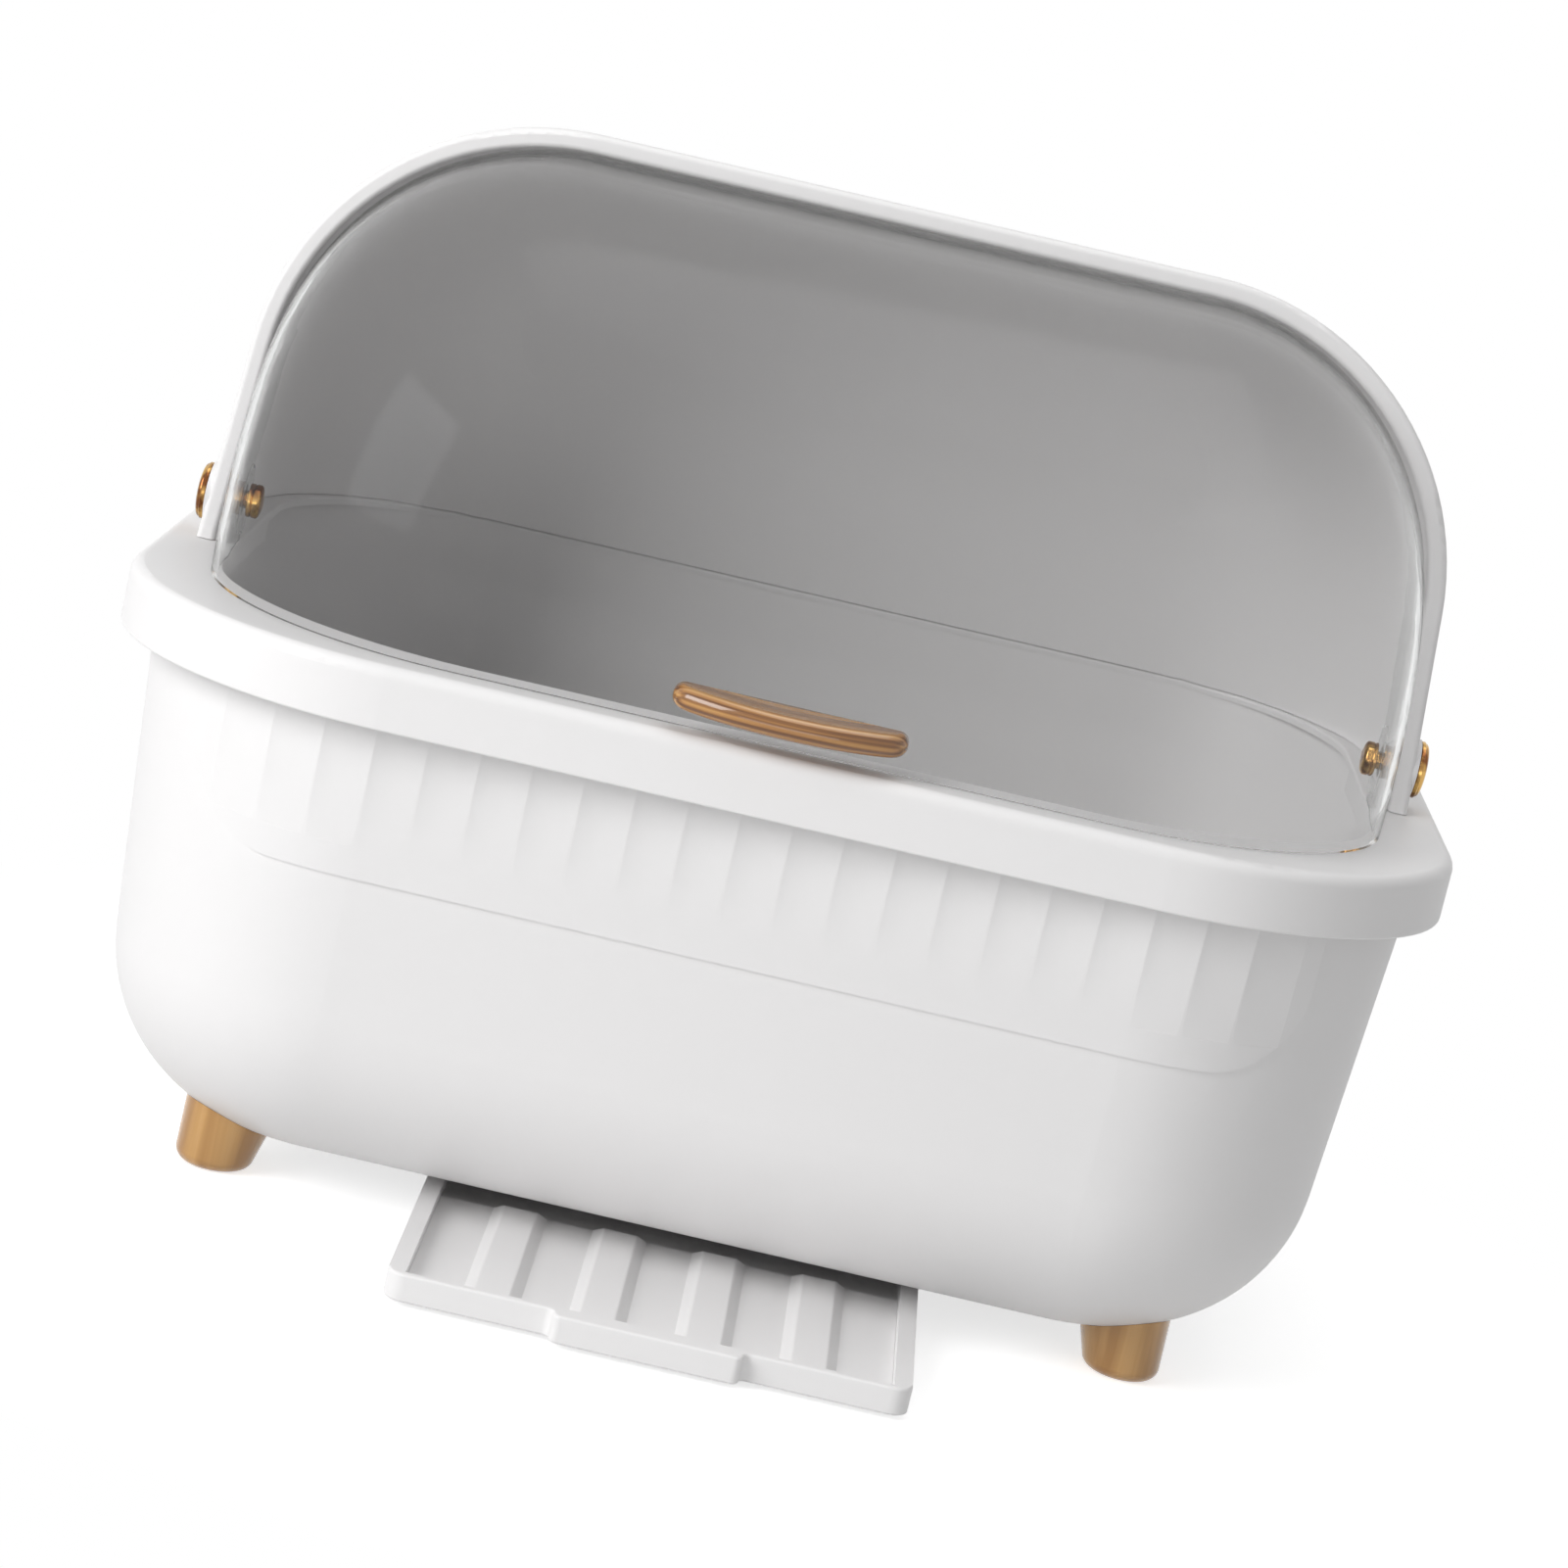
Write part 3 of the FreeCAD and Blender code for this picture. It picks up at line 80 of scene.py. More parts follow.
# Lacquered wood. The grain changes along the streaks at this share of its speed across them,
# and its figure is finer than the streaks by a factor, and fainter by a share.
WOOD_IOR = 1.35
WOOD_ROUGHNESS = 0.25
COAT_ROUGHNESS = 0.05
STREAK_STRETCH = 0.006
FIGURE_FINENESS = 5.0
FIGURE_SHARE = 0.18
GRAIN_LOW, GRAIN_HIGH = 0.4, 0.85
BROWN_STOPS = (0.1, 0.5, 0.9)
PORE_DEPTH, PORE_STRENGTH = 0.01 * MM, 0.3
# Bow of the grip's front along its length, in 1/m: 12.5 mm over half its 84 mm
GRIP_BOW = 12.5 * MM / (42.0 * MM) ** 2

# Plated steel and polished brass: the sizes of their uneven patches, and the gloss between them. The brass's
# browner colour patches are painted reflection, standing in for the dark surroundings that polished metal mirrors.
STEEL_PATCH, STEEL_ROUGHNESS = 1.111 * MM, (0.25, 0.45)
BRASS_REFLECTION_PATCH, BRASS_REFLECTION_STOPS = 7.0 * MM, (0.42, 0.58)
BRASS_GLOSS_PATCH, BRASS_ROUGHNESS = 2.5 * MM, (0.14, 0.26)

# Turn of a piece that stands upright
UPRIGHT = (0.0, 0.0, 0.0)

# Edges that turn more than this are shaded sharp; turned pieces have this many sides
SHARP_ANGLE = math.radians(38.0)
ROUND_SIDES = 64
SMALL_SIDES = 24

# Turned outlines as (share of height, share of radius) pairs. Negative heights lie below the
# seat of a peg, shaft or screw head, or below the top of a tooth.
FOOT_SHARES = ((0.0, 1.55), (0.012, 1.3), (0.03, 1.12), (0.06, 1.0))
TIP_SHARES = ((-0.05, 1.0), (-0.03, 0.94), (-0.014, 0.75), (-0.004, 0.42), (0.0, 0.12))
PEG_SHARES = ((-1.0, 0.86), (-0.9, 1.0), (0.0, 1.0))
HEAD_SHARES = (
    (-1.0, 0.55), (-0.97, 0.72), (-0.85, 0.87), (-0.6, 0.97), (-0.35, 1.0), (-0.01, 1.0))
SHANK_SHARES = ((0.0, 1.0), (0.9, 1.0), (0.97, 0.6), (1.0, 0.15))
SHAFT_SHARES = ((-1.0, 0.9), (-0.97, 1.0))
CAP_SHARES = (
    (0.0, 0.955), (0.07, 0.99), (0.14, 1.0), (0.42, 1.0), (0.47, 0.985), (0.52, 0.955),
    (0.56, 0.95), (0.62, 0.945), (0.7, 0.93), (0.8, 0.885), (0.89, 0.81), (0.95, 0.72),
    (0.975, 0.66), (0.97, 0.63), (0.955, 0.6), (0.965, 0.56), (0.985, 0.45), (0.995, 0.25),
    (1.0, 0.03))
NUT_SHARES = (
    (0.0, 0.4), (0.015, 0.6), (0.06, 0.78), (0.13, 0.9), (0.22, 0.975), (0.3, 1.0), (0.6, 1.0),
    (0.63, 0.96), (0.68, 0.94), (0.73, 0.96), (0.76, 1.0), (0.96, 1.0), (1.0, 0.95))

# A shaft ends this far short of its cap, so that their outlines don't share a height
SHAFT_GAP = 0.01 * MM
# Cross in a screw head: bar width and length as shares of its radius, depth of its height
CROSS_WIDTH, CROSS_LENGTH, CROSS_DEPTH = 0.36, 1.25, 0.55
# Corner radius of a comb's rail as a share of its width, and the steps in one corner
RAIL_ROUNDING, RAIL_STEPS = 0.49, 10

# Studio: soft boxes as (name, size, place, aim), and the floor's half side, its share of white
# on top of the lamps' light, and the distances over which it fades to plain white
LAMPS = (
    ("key", (1.3, 1.3), (-1.66, -1.36, 1.2), (0.0, 0.0, 0.2)),
    ("top", (1.2, 1.2), (0.2, 0.1, 2.0), (0.0, 0.0, 0.2)),
    ("low_fill", (1.6, 0.4), (0.0, -1.7, 0.12), (0.0, 0.0, 0.25)),
)
FLOOR_HALF = 6.0
FLOOR_LIFT = 0.68
FADE_START, FADE_END = 0.2, 0.42
PAPER_ROUGHNESS = 0.9
WHITE = (1.0, 1.0, 1.0, 1.0)
IMAGE_SIDE = 1601
SENSOR_WIDTH = 36.0

# Materials by slot, filled in by the surfaces step
FINISHES = {}


# Properties

def linear(text):
    """Linear RGBA of an sRGB hex colour."""
    values = [int(text[i:i + 2], 16) / 255.0 for i in (1, 3, 5)]
    scaled = [v / 12.92 if v <= 0.04045 else ((v + 0.055) / 1.055) ** 2.4 for v in values]
    return (*scaled, 1.0)


def rgb_prop(name, description, text):
    """Colour property with a default given in sRGB hex."""
    return bpy.props.FloatVectorProperty(
        name=name, description=description, subtype="COLOR", size=4, min=0.0, max=1.0,
        default=linear(text))


def length_prop(name, description, default):
    """Length property in metres."""
    return bpy.props.FloatProperty(
        name=name, description=description, subtype="DISTANCE", unit="LENGTH", default=default)


def angle_prop(name, description, degrees):
    """Angle property with a default given in degrees."""
    return bpy.props.FloatProperty(
        name=name, description=description, subtype="ANGLE", default=math.radians(degrees))


def power_prop(name, description, watts):
    """Power property of a lamp."""
    return bpy.props.FloatProperty(
        name=name, description=description, unit="POWER", min=0.0, default=watts)


class BoxFinish(bpy.types.PropertyGroup):
    """Colours of the box."""
    shell: rgb_prop("Shell", "White of the tub, rim, hood and tray", "#f0efef")
    rack: rgb_prop("Rack", "White of the rack, combs and cup", "#e7e7e6")
    trim: rgb_prop("Trim", "Grey of the strainer and washers", "#8f9294")
    visor: rgb_prop("Visor", "Tint of the clear visor", "#fcfcfc")
    # Painted shade: the grey that the visor's colour darkens to where its wall is seen edge-on
    visor_edge_shade: rgb_prop("Visor edge", "Tint of the visor where it is seen edge-on", "#a3a9a7")
    grip_dark: rgb_prop("Grip dark", "Darkest streak of the grip", "#6e431b")
    grip_mid: rgb_prop("Grip", "Main brown of the grip", "#a8743a")
    grip_light: rgb_prop("Grip light", "Lightest streak of the grip", "#cd9d5c")
    leg_dark: rgb_prop("Leg dark", "Darkest grain of the legs", "#a8793e")
    leg_mid: rgb_prop("Leg", "Main tan of the legs", "#c19355")
    leg_light: rgb_prop("Leg light", "Lightest grain of the legs", "#cfa368")
    brass: rgb_prop("Brass", "Clean gold of the hinge caps and nuts", "#cfa763")
    # Painted reflection: the browner gold laid in random patches for the dark surroundings that polished brass
    # mirrors
    brass_painted_reflection: rgb_prop("Brass, aged", "Browner patches of the hinge caps and nuts", "#7d5030")
    steel: rgb_prop("Steel", "Grey of the screws", "#c2c2c0")


class CombSizes(bpy.types.PropertyGroup):
    """Rows of upright teeth on the rack."""
    teeth: bpy.props.IntProperty(name="Teeth", description="Teeth in one row", min=2, default=11)
    pitch: length_prop("Pitch", "From tooth to tooth", 20.0 * MM)
    tooth_height: length_prop("Tooth height", "Above the rail", 46.0 * MM)
    foot_radius: length_prop("Foot radius", "Of a tooth just above its flare", 3.0 * MM)
    tip_radius: length_prop("Tip radius", "Of a tooth just below its round end", 2.1 * MM)
    rail_width: length_prop("Rail width", "Across the row", 12.0 * MM)
    rail_height: length_prop("Rail height", "Of the bar that carries the teeth", 4.0 * MM)
    peg_radius: length_prop("Peg radius", "Of the pegs in the rack's slots", 3.7 * MM)
    peg_depth: length_prop("Peg depth", "Below the rail", 5.0 * MM)
    peg_spread: length_prop("Peg spread", "Between a row's two pegs", 180.0 * MM)


class ScrewSizes(bpy.types.PropertyGroup):
    """Cross-head screws of the legs, rails and grip."""
    leg_head: length_prop("Leg screw head", "Head radius", 4.0 * MM)
    leg_head_height: length_prop("Leg screw head height", "Along the screw", 2.6 * MM)
    leg_shank: length_prop("Leg screw shank", "Shank radius", 2.0 * MM)
    leg_length: length_prop("Leg screw length", "Below the head", 20.0 * MM)
    leg_x: length_prop("Leg foot, across", "Half the spread of the feet", 174.3 * MM)
    leg_y: length_prop("Leg foot, along", "Half the spread of the feet", 104.5 * MM)
    leg_seat: length_prop("Leg screw seat", "Up each leg from the floor", 12.0 * MM)
    leg_splay: angle_prop("Splay", "Lean of each leg to both sides", 8.3)
    rail_head: length_prop("Rail screw head", "Head radius", 3.0 * MM)
    rail_head_height: length_prop("Rail screw head height", "Along the screw", 1.8 * MM)
    rail_shank: length_prop("Rail screw shank", "Shank radius", 1.5 * MM)
    rail_length: length_prop("Rail screw length", "Below the head", 8.5 * MM)
    rail_x: length_prop("Rail screw, across", "Half the spread", 104.25 * MM)
    rail_y: length_prop("Rail screw, along", "Half the spread", 60.0 * MM)
    grip_head: length_prop("Grip screw head", "Head radius", 3.6 * MM)
    grip_head_height: length_prop("Grip screw head height", "Along the screw", 2.0 * MM)
    grip_shank: length_prop("Grip screw shank", "Shank radius", 1.7 * MM)
    grip_length: length_prop("Grip screw length", "Below the head", 12.0 * MM)
    grip_x: length_prop("Grip screw, across", "Half the spread", 24.0 * MM)


class HingeSizes(bpy.types.PropertyGroup):
    """Turned caps and closed nuts of the visor's hinges."""
    cap_radius: length_prop("Cap radius", "Of the round cap outside the hood", 11.0 * MM)
    cap_height: length_prop("Cap height", "How far the cap stands out", 3.8 * MM)
    shaft_radius: length_prop("Shaft radius", "Of the hinge shaft", 3.5 * MM)
    nut_radius: length_prop("Nut radius", "Of the closed nut inside", 6.6 * MM)
    nut_height: length_prop("Nut height", "Along the shaft", 5.6 * MM)


class StudioSettings(bpy.types.PropertyGroup):
    """Light, floor and camera."""
    floor: rgb_prop("Floor", "Pale floor", "#dedede")
    key_power: power_prop("Key", "Watts of the key light", 35.5)
    top_power: power_prop("Top", "Watts of the overhead light", 8.0)
    low_fill_power: power_prop("Low fill", "Watts of the low light in front", 3.2)
    ambient: bpy.props.FloatProperty(
        name="Ambient", description="Strength of the even light", subtype="FACTOR",
        min=0.0, max=1.0, default=0.34)
    camera_gap: length_prop("Camera distance", "From the hood's front plane to the camera", 1.651)
    camera_height: length_prop("Camera height", "From the floor to the camera", 0.5216)
    camera_side: length_prop("Camera offset", "Sideways from the middle plane", 0.00275)
    camera_pitch: angle_prop("Pitch", "Downward tilt", 11.93)
    camera_roll: angle_prop("Roll", "Turn about the line of sight", 13.0)
    focal_pixels: bpy.props.FloatProperty(
        name="Focal length", description="In pixels of the photograph", subtype="PIXEL",
        default=4500.0)


# Nodes

def feed(tree, socket, value):
    """Set a socket, or join it to another socket, a node's first output or a list of these."""
    if isinstance(value, list):
        for part in value:
            feed(tree, socket, part)
    elif isinstance(value, bpy.types.Node):
        tree.links.new(value.outputs[0], socket)
    elif isinstance(value, bpy.types.NodeSocket):
        tree.links.new(value, socket)
    else:
        socket.default_value = value


def add(tree, kind, values=(), stops=(), **settings):
    """One node in a tree: settings are its attributes, values its inputs by name or in order,
    and stops the (position, colour) pairs of a ramp."""
    node = tree.nodes.new(kind)
    for name, value in settings.items():
        setattr(node, name, value)
    for key, value in values.items() if isinstance(values, dict) else enumerate(values):
        feed(tree, node.inputs[key], value)
    for number, (position, colour) in enumerate(stops):
        if number == len(node.color_ramp.elements):
            node.color_ramp.elements.new(position)
        node.color_ramp.elements[number].position = position
        node.color_ramp.elements[number].color = colour
    return node


def new_material(name):
    """Material with an empty node tree; returns both."""
    material = bpy.data.materials.new(name)
    material.use_nodes = True
    material.node_tree.nodes.clear()
    return material, material.node_tree


# Materials

def moulded_plastic(name, colour, roughness, grain_depth):
    """Injection-moulded polypropylene: an even, slightly waxy sheen with a very fine spark-eroded
    grain, and gloss that drifts a little over each wall."""
    material, tree = new_material(name)
    spot = add(tree, "ShaderNodeTexCoord").outputs["Object"]
    drift = add(tree, "ShaderNodeTexNoise", {
        "Vector": spot, "Scale": 1 / DRIFT_SIZE, "Detail": 1.0})
    gloss = add(tree, "ShaderNodeMapRange", {
        "Value": drift, "To Min": roughness - GLOSS_DRIFT, "To Max": roughness + GLOSS_DRIFT})
    grain = add(tree, "ShaderNodeTexNoise", {"Vector": spot, "Scale": 1 / GRAIN_SIZE})
    relief = add(tree, "ShaderNodeBump", {"Height": grain, "Distance": grain_depth})
    surface = add(tree, "ShaderNodeBsdfPrincipled", {
        "Base Color": colour, "IOR": PLASTIC_IOR, "Specular IOR Level": PLASTIC_SPECULAR,
        "Roughness": gloss, "Normal": relief})
    add(tree, "ShaderNodeOutputMaterial", {"Surface": surface})
    return material


def clear_acrylic(name, colour, edge_shade_colour):
    """Clear moulded acrylic: smooth reflections and a hardly tinted view through, with painted shade that darkens
    its colour where the wall is seen nearly edge-on. Light from the lamps passes on to what stands inside."""
    material, tree = new_material(name)
    edge_on = add(tree, "ShaderNodeLayerWeight", {"Blend": 0.5}).outputs["Facing"]
    # Painted shade: the colour darkens from the tint to a grey as the wall turns edge-on
    tint = add(tree, "ShaderNodeValToRGB", {"Fac": edge_on},
               [(EDGE_SHADE_START, colour), (EDGE_SHADE_END, edge_shade_colour)])
    wall = add(tree, "ShaderNodeBsdfPrincipled", {
        "Base Color": tint, "Roughness": 0.0, "IOR": ACRYLIC_IOR, "Transmission Weight": 1.0})
    path = add(tree, "ShaderNodeLightPath").outputs
    passing = add(tree, "ShaderNodeMath", (path["Is Shadow Ray"], path["Is Diffuse Ray"]),
                  operation="MAXIMUM")
    open_air = add(tree, "ShaderNodeBsdfTransparent", {"Color": PASSING_LIGHT})
    surface = add(tree, "ShaderNodeMixShader", (passing, wall, open_air))
    add(tree, "ShaderNodeOutputMaterial", {"Surface": surface})
    return material


def bowed_place(tree, bow):
    """Object coordinates whose Y follows a piece that bows forward along X."""
    spot = add(tree, "ShaderNodeTexCoord").outputs["Object"]
    x, y, z = add(tree, "ShaderNodeSeparateXYZ", (spot,)).outputs
    square = add(tree, "ShaderNodeMath", (x, x), operation="MULTIPLY")
    level = add(tree, "ShaderNodeMath", (square, -bow, y), operation="MULTIPLY_ADD")
    return add(tree, "ShaderNodeCombineXYZ", (x, level, z))


def grained_wood(name, browns, along, streak_width, coat, bow=0.0):
    """Wood-grain finish under lacquer: long calm streaks along one axis in three browns, a little
    fine figure between them, and a clear coat that keeps sharp highlights."""
    material, tree = new_material(name)
    stretch = tuple(STREAK_STRETCH if i == along else 1.0 for i in range(3))
    spot = add(tree, "ShaderNodeMapping", {"Vector": bowed_place(tree, bow), "Scale": stretch})
    streaks = add(tree, "ShaderNodeTexNoise", {
        "Vector": spot, "Scale": 1 / streak_width, "Detail": 1.0, "Roughness": 0.4})
    figure = add(tree, "ShaderNodeTexNoise", {
        "Vector": spot, "Scale": FIGURE_FINENESS / streak_width})
    both = add(tree, "ShaderNodeMath", (figure, FIGURE_SHARE, streaks), operation="MULTIPLY_ADD")
    spread = add(tree, "ShaderNodeMapRange", {
        "Value": both, "From Min": GRAIN_LOW, "From Max": GRAIN_HIGH})
    grain = add(tree, "ShaderNodeValToRGB", {"Fac": spread}, zip(BROWN_STOPS, browns))
    relief = add(tree, "ShaderNodeBump", {
        "Height": figure, "Distance": PORE_DEPTH, "Strength": PORE_STRENGTH})
    surface = add(tree, "ShaderNodeBsdfPrincipled", {
        "Base Color": grain, "IOR": WOOD_IOR, "Roughness": WOOD_ROUGHNESS, "Coat Weight": coat,
        "Coat Roughness": COAT_ROUGHNESS, "Normal": relief})
    add(tree, "ShaderNodeOutputMaterial", {"Surface": surface})
    return material


def plated_steel(name, colour):
    """Zinc-plated screw steel: grey metal with a soft, uneven gloss."""
    material, tree = new_material(name)
    spot = add(tree, "ShaderNodeTexCoord").outputs["Object"]
    patches = add(tree, "ShaderNodeTexNoise", {"Vector": spot, "Scale": 1 / STEEL_PATCH})
    gloss = add(tree, "ShaderNodeMapRange", {
        "Value": patches, "To Min": STEEL_ROUGHNESS[0], "To Max": STEEL_ROUGHNESS[1]})
    surface = add(tree, "ShaderNodeBsdfPrincipled", {
        "Base Color": colour, "Metallic": 1.0, "Roughness": gloss})
    add(tree, "ShaderNodeOutputMaterial", {"Surface": surface})
    return material


def polished_brass(name, clean, dark_reflection):
    """Turned, polished brass: clean gold with browner patches at random, which are painted reflection standing in
    for dark surroundings mirrored in the metal, and a gloss that is a little uneven."""
    material, tree = new_material(name)
    spot = add(tree, "ShaderNodeTexCoord").outputs["Object"]
    # Painted reflection: random browner patches in the colour stand in for the dark surroundings mirrored in
    # polished brass
    patches = add(tree, "ShaderNodeTexNoise", {"Vector": spot, "Scale": 1 / BRASS_REFLECTION_PATCH})
    painted_reflection_tone = add(tree, "ShaderNodeValToRGB", {"Fac": patches}, zip(BRASS_REFLECTION_STOPS, (dark_reflection, clean)))
    uneven = add(tree, "ShaderNodeTexNoise", {"Vector": spot, "Scale": 1 / BRASS_GLOSS_PATCH})
    gloss = add(tree, "ShaderNodeMapRange", {
        "Value": uneven, "To Min": BRASS_ROUGHNESS[0], "To Max": BRASS_ROUGHNESS[1]})
    surface = add(tree, "ShaderNodeBsdfPrincipled", {
        "Base Color": painted_reflection_tone, "Metallic": 1.0, "Roughness": gloss})
    add(tree, "ShaderNodeOutputMaterial", {"Surface": surface})
    return material


# Geometry trees

def new_tree(name, sizes, **kinds):
    """Geometry tree with a named input for each size and socket kind; returns it and its inputs."""
    tree = bpy.data.node_groups.new(name, "GeometryNodeTree")
    inputs = {**dict.fromkeys(sizes, "Float"), **kinds, "Turn": "Rotation", "Place": "Vector",
              "Material": "Material"}
    for title, kind in inputs.items():
        tree.interface.new_socket(title, in_out="INPUT", socket_type="NodeSocket" + kind)
    tree.interface.new_socket("Geometry", in_out="OUTPUT", socket_type="NodeSocketGeometry")
    return tree, add(tree, "NodeGroupInput").outputs


def end_tree(tree, size, geometry):
    """Turn and place the form, and end the tree in Realize Instances and Set Material."""
    placed = add(tree, "GeometryNodeTransform", {
        "Geometry": geometry, "Translation": size["Place"], "Rotation": size["Turn"]})
    real = add(tree, "GeometryNodeRealizeInstances", {"Geometry": placed})
    done = add(tree, "GeometryNodeSetMaterial", {"Geometry": real, "Material": size["Material"]})
    add(tree, "NodeGroupOutput", {"Geometry": done})


def stations(tree, shares, height, radius, base=0.0):
    """Heights and radii of a turned outline, from its shares and a base height."""
    return [(add(tree, "ShaderNodeMath", (height, high, base), operation="MULTIPLY_ADD"),
             add(tree, "ShaderNodeMath", (radius, wide), operation="MULTIPLY"))
            for high, wide in shares]


def turned(tree, outline, sides):
    """Turned solid on +Z through (height, radius) stations."""
    index = add(tree, "GeometryNodeInputIndex")
    heights = [add(tree, "ShaderNodeCombineXYZ", {"Z": height}) for height, _ in outline]
    radii = [radius for _, radius in outline]
    picked = []
    for kind, choices in (("VECTOR", heights), ("FLOAT", radii)):
        switch = add(tree, "GeometryNodeIndexSwitch", data_type=kind)
        while len(switch.index_switch_items) < len(choices):
            switch.index_switch_items.new()
        for number, choice in enumerate((index, *choices)):
            feed(tree, switch.inputs[number], choice)
        picked.append(switch)
    line = add(tree, "GeometryNodeMeshLine", {"Count": len(outline)})
    shaped = add(tree, "GeometryNodeSetPosition", {"Geometry": line, "Position": picked[0]})
    spine = add(tree, "GeometryNodeMeshToCurve", {"Mesh": shaped})
    ring = add(tree, "GeometryNodeCurvePrimitiveCircle", {"Resolution": sides, "Radius": 1.0})
    return add(tree, "GeometryNodeCurveToMesh", {
        "Curve": spine, "Profile Curve": ring, "Fill Caps": True, "Scale": picked[1]})


def row_along_y(tree, form, count, spacing, level):
    """Copies of a form in a centred row along Y, at one height."""
    gaps = add(tree, "ShaderNodeMath", (count, 1.0), operation="SUBTRACT")
    reach = add(tree, "ShaderNodeMath", (gaps, spacing), operation="MULTIPLY")
    first = add(tree, "ShaderNodeMath", (reach, -0.5), operation="MULTIPLY")
    points = add(tree, "GeometryNodeMeshLine", {
        "Count": count,
        "Start Location": add(tree, "ShaderNodeCombineXYZ", {"Y": first, "Z": level}),
        "Offset": add(tree, "ShaderNodeCombineXYZ", {"Y": spacing})})
    return add(tree, "GeometryNodeInstanceOnPoints", {"Points": points, "Instance": form})


def comb_rail(tree, size):
    """Round-ended bar that carries a comb's teeth."""
    plan = add(tree, "GeometryNodeCurvePrimitiveQuadrilateral", {
        "Width": size["Rail Width"], "Height": size["Rail Length"]})
    corner = add(tree, "ShaderNodeMath", (size["Rail Width"], RAIL_ROUNDING),
                 operation="MULTIPLY")
    rounded = add(tree, "GeometryNodeFilletCurve", {
        "Curve": plan, "Count": RAIL_STEPS, "Radius": corner}, mode="POLY")
    top = add(tree, "ShaderNodeCombineXYZ", {"Z": size["Rail Height"]})
    upright = add(tree, "GeometryNodeCurvePrimitiveLine", {"End": top})
    return add(tree, "GeometryNodeCurveToMesh", {
        "Curve": upright, "Profile Curve": rounded, "Fill Caps": True})


def comb_tree():
    """Rail with a row of flared, round-ended teeth, and two pegs below."""
    tree, size = new_tree("plate_comb_rows", (
        "Pitch", "Tooth Height", "Foot Radius", "Tip Radius", "Rail Width", "Rail Length",
        "Rail Height", "Peg Radius", "Peg Depth", "Peg Spread"), Teeth="Int")
    height = size["Tooth Height"]
    foot = stations(tree, FOOT_SHARES, height, size["Foot Radius"])
    tip = stations(tree, TIP_SHARES, height, size["Tip Radius"], height)
    tooth = turned(tree, foot + tip, SMALL_SIDES)
    teeth = row_along_y(tree, tooth, size["Teeth"], size["Pitch"], size["Rail Height"])
    peg_outline = stations(tree, PEG_SHARES, size["Peg Depth"], size["Peg Radius"])
    peg = turned(tree, peg_outline, SMALL_SIDES)
    pegs = row_along_y(tree, peg, 2, size["Peg Spread"], 0.0)
    end_tree(tree, size, add(tree, "GeometryNodeJoinGeometry", {
        "Geometry": [teeth, comb_rail(tree, size), pegs]}))
    return tree


def cross_head_screw(tree, size):
    """One screw with its shank on +Z and a cross cut into the head below."""
    head = stations(tree, HEAD_SHARES, size["Head Height"], size["Head Radius"])
    shank = stations(tree, SHANK_SHARES, size["Length"], size["Shank Radius"])
    body = turned(tree, head + shank, SMALL_SIDES)
    narrow, wide, deep, under = [
        add(tree, "ShaderNodeMath", (size[title], share), operation="MULTIPLY")
        for title, share in (("Head Radius", CROSS_WIDTH), ("Head Radius", CROSS_LENGTH),
                             ("Head Height", 2 * CROSS_DEPTH), ("Head Height", -1.0))]
    bars = [add(tree, "GeometryNodeMeshCube", {
        "Size": add(tree, "ShaderNodeCombineXYZ", (across, along, deep))})
        for across, along in ((narrow, wide), (wide, narrow))]
    cross = add(tree, "GeometryNodeTransform", {
        "Geometry": add(tree, "GeometryNodeJoinGeometry", {"Geometry": bars}),
        "Translation": add(tree, "ShaderNodeCombineXYZ", {"Z": under})})
    return add(tree, "GeometryNodeMeshBoolean", {
        "Mesh 1": body, "Mesh 2": cross, "Self Intersection": True},
        operation="DIFFERENCE", solver="EXACT")


def screw_tree():
    """Cross-head screws at the corners of a rectangle, leaning in by the same amount."""
    tree, size = new_tree("cross_head_screws", (
        "Head Radius", "Head Height", "Shank Radius", "Length", "Spread X", "Spread Y", "Lean"))
    screw = cross_head_screw(tree, size)
    corners = add(tree, "GeometryNodeMeshGrid", {
        "Size X": size["Spread X"], "Size Y": size["Spread Y"], "Vertices X": 2,
        "Vertices Y": 2})
    points = add(tree, "GeometryNodeMergeByDistance", {"Geometry": corners, "Distance": MM})
    here = add(tree, "ShaderNodeSeparateXYZ", (add(tree, "GeometryNodeInputPosition"),))
    inward = add(tree, "ShaderNodeMath", (size["Lean"], -1.0), operation="MULTIPLY")
    leans = []
    for place in here.outputs[:2]:
        side = add(tree, "ShaderNodeMath", (place,), operation="SIGN")
        leans.append(add(tree, "ShaderNodeMath", (side, inward), operation="MULTIPLY"))
    line = add(tree, "ShaderNodeCombineXYZ", (*leans, 1.0))
    aim = add(tree, "FunctionNodeAlignRotationToVector", {"Vector": line}, axis="Z")
    end_tree(tree, size, add(tree, "GeometryNodeInstanceOnPoints", {
        "Points": points, "Instance": screw, "Rotation": aim}))
    return tree


def cap_tree():
    """Round hinge cap on +Z, with its shaft below."""
    tree, size = new_tree("turned_hinge_cap", (
        "Radius", "Height", "Shaft Radius", "Shaft Length"))
    shaft = stations(tree, SHAFT_SHARES, size["Shaft Length"], size["Shaft Radius"])
    shaft.append((-SHAFT_GAP, size["Shaft Radius"]))
    cap = stations(tree, CAP_SHARES, size["Height"], size["Radius"])
    end_tree(tree, size, turned(tree, shaft + cap, ROUND_SIDES))
    return tree


def nut_tree():
    """Closed hinge nut on +Z."""
    tree, size = new_tree("turned_hinge_nut", ("Radius", "Height"))
    nut = stations(tree, NUT_SHARES, size["Height"], size["Radius"])
    end_tree(tree, size, turned(tree, nut, ROUND_SIDES))
    return tree


# Pieces

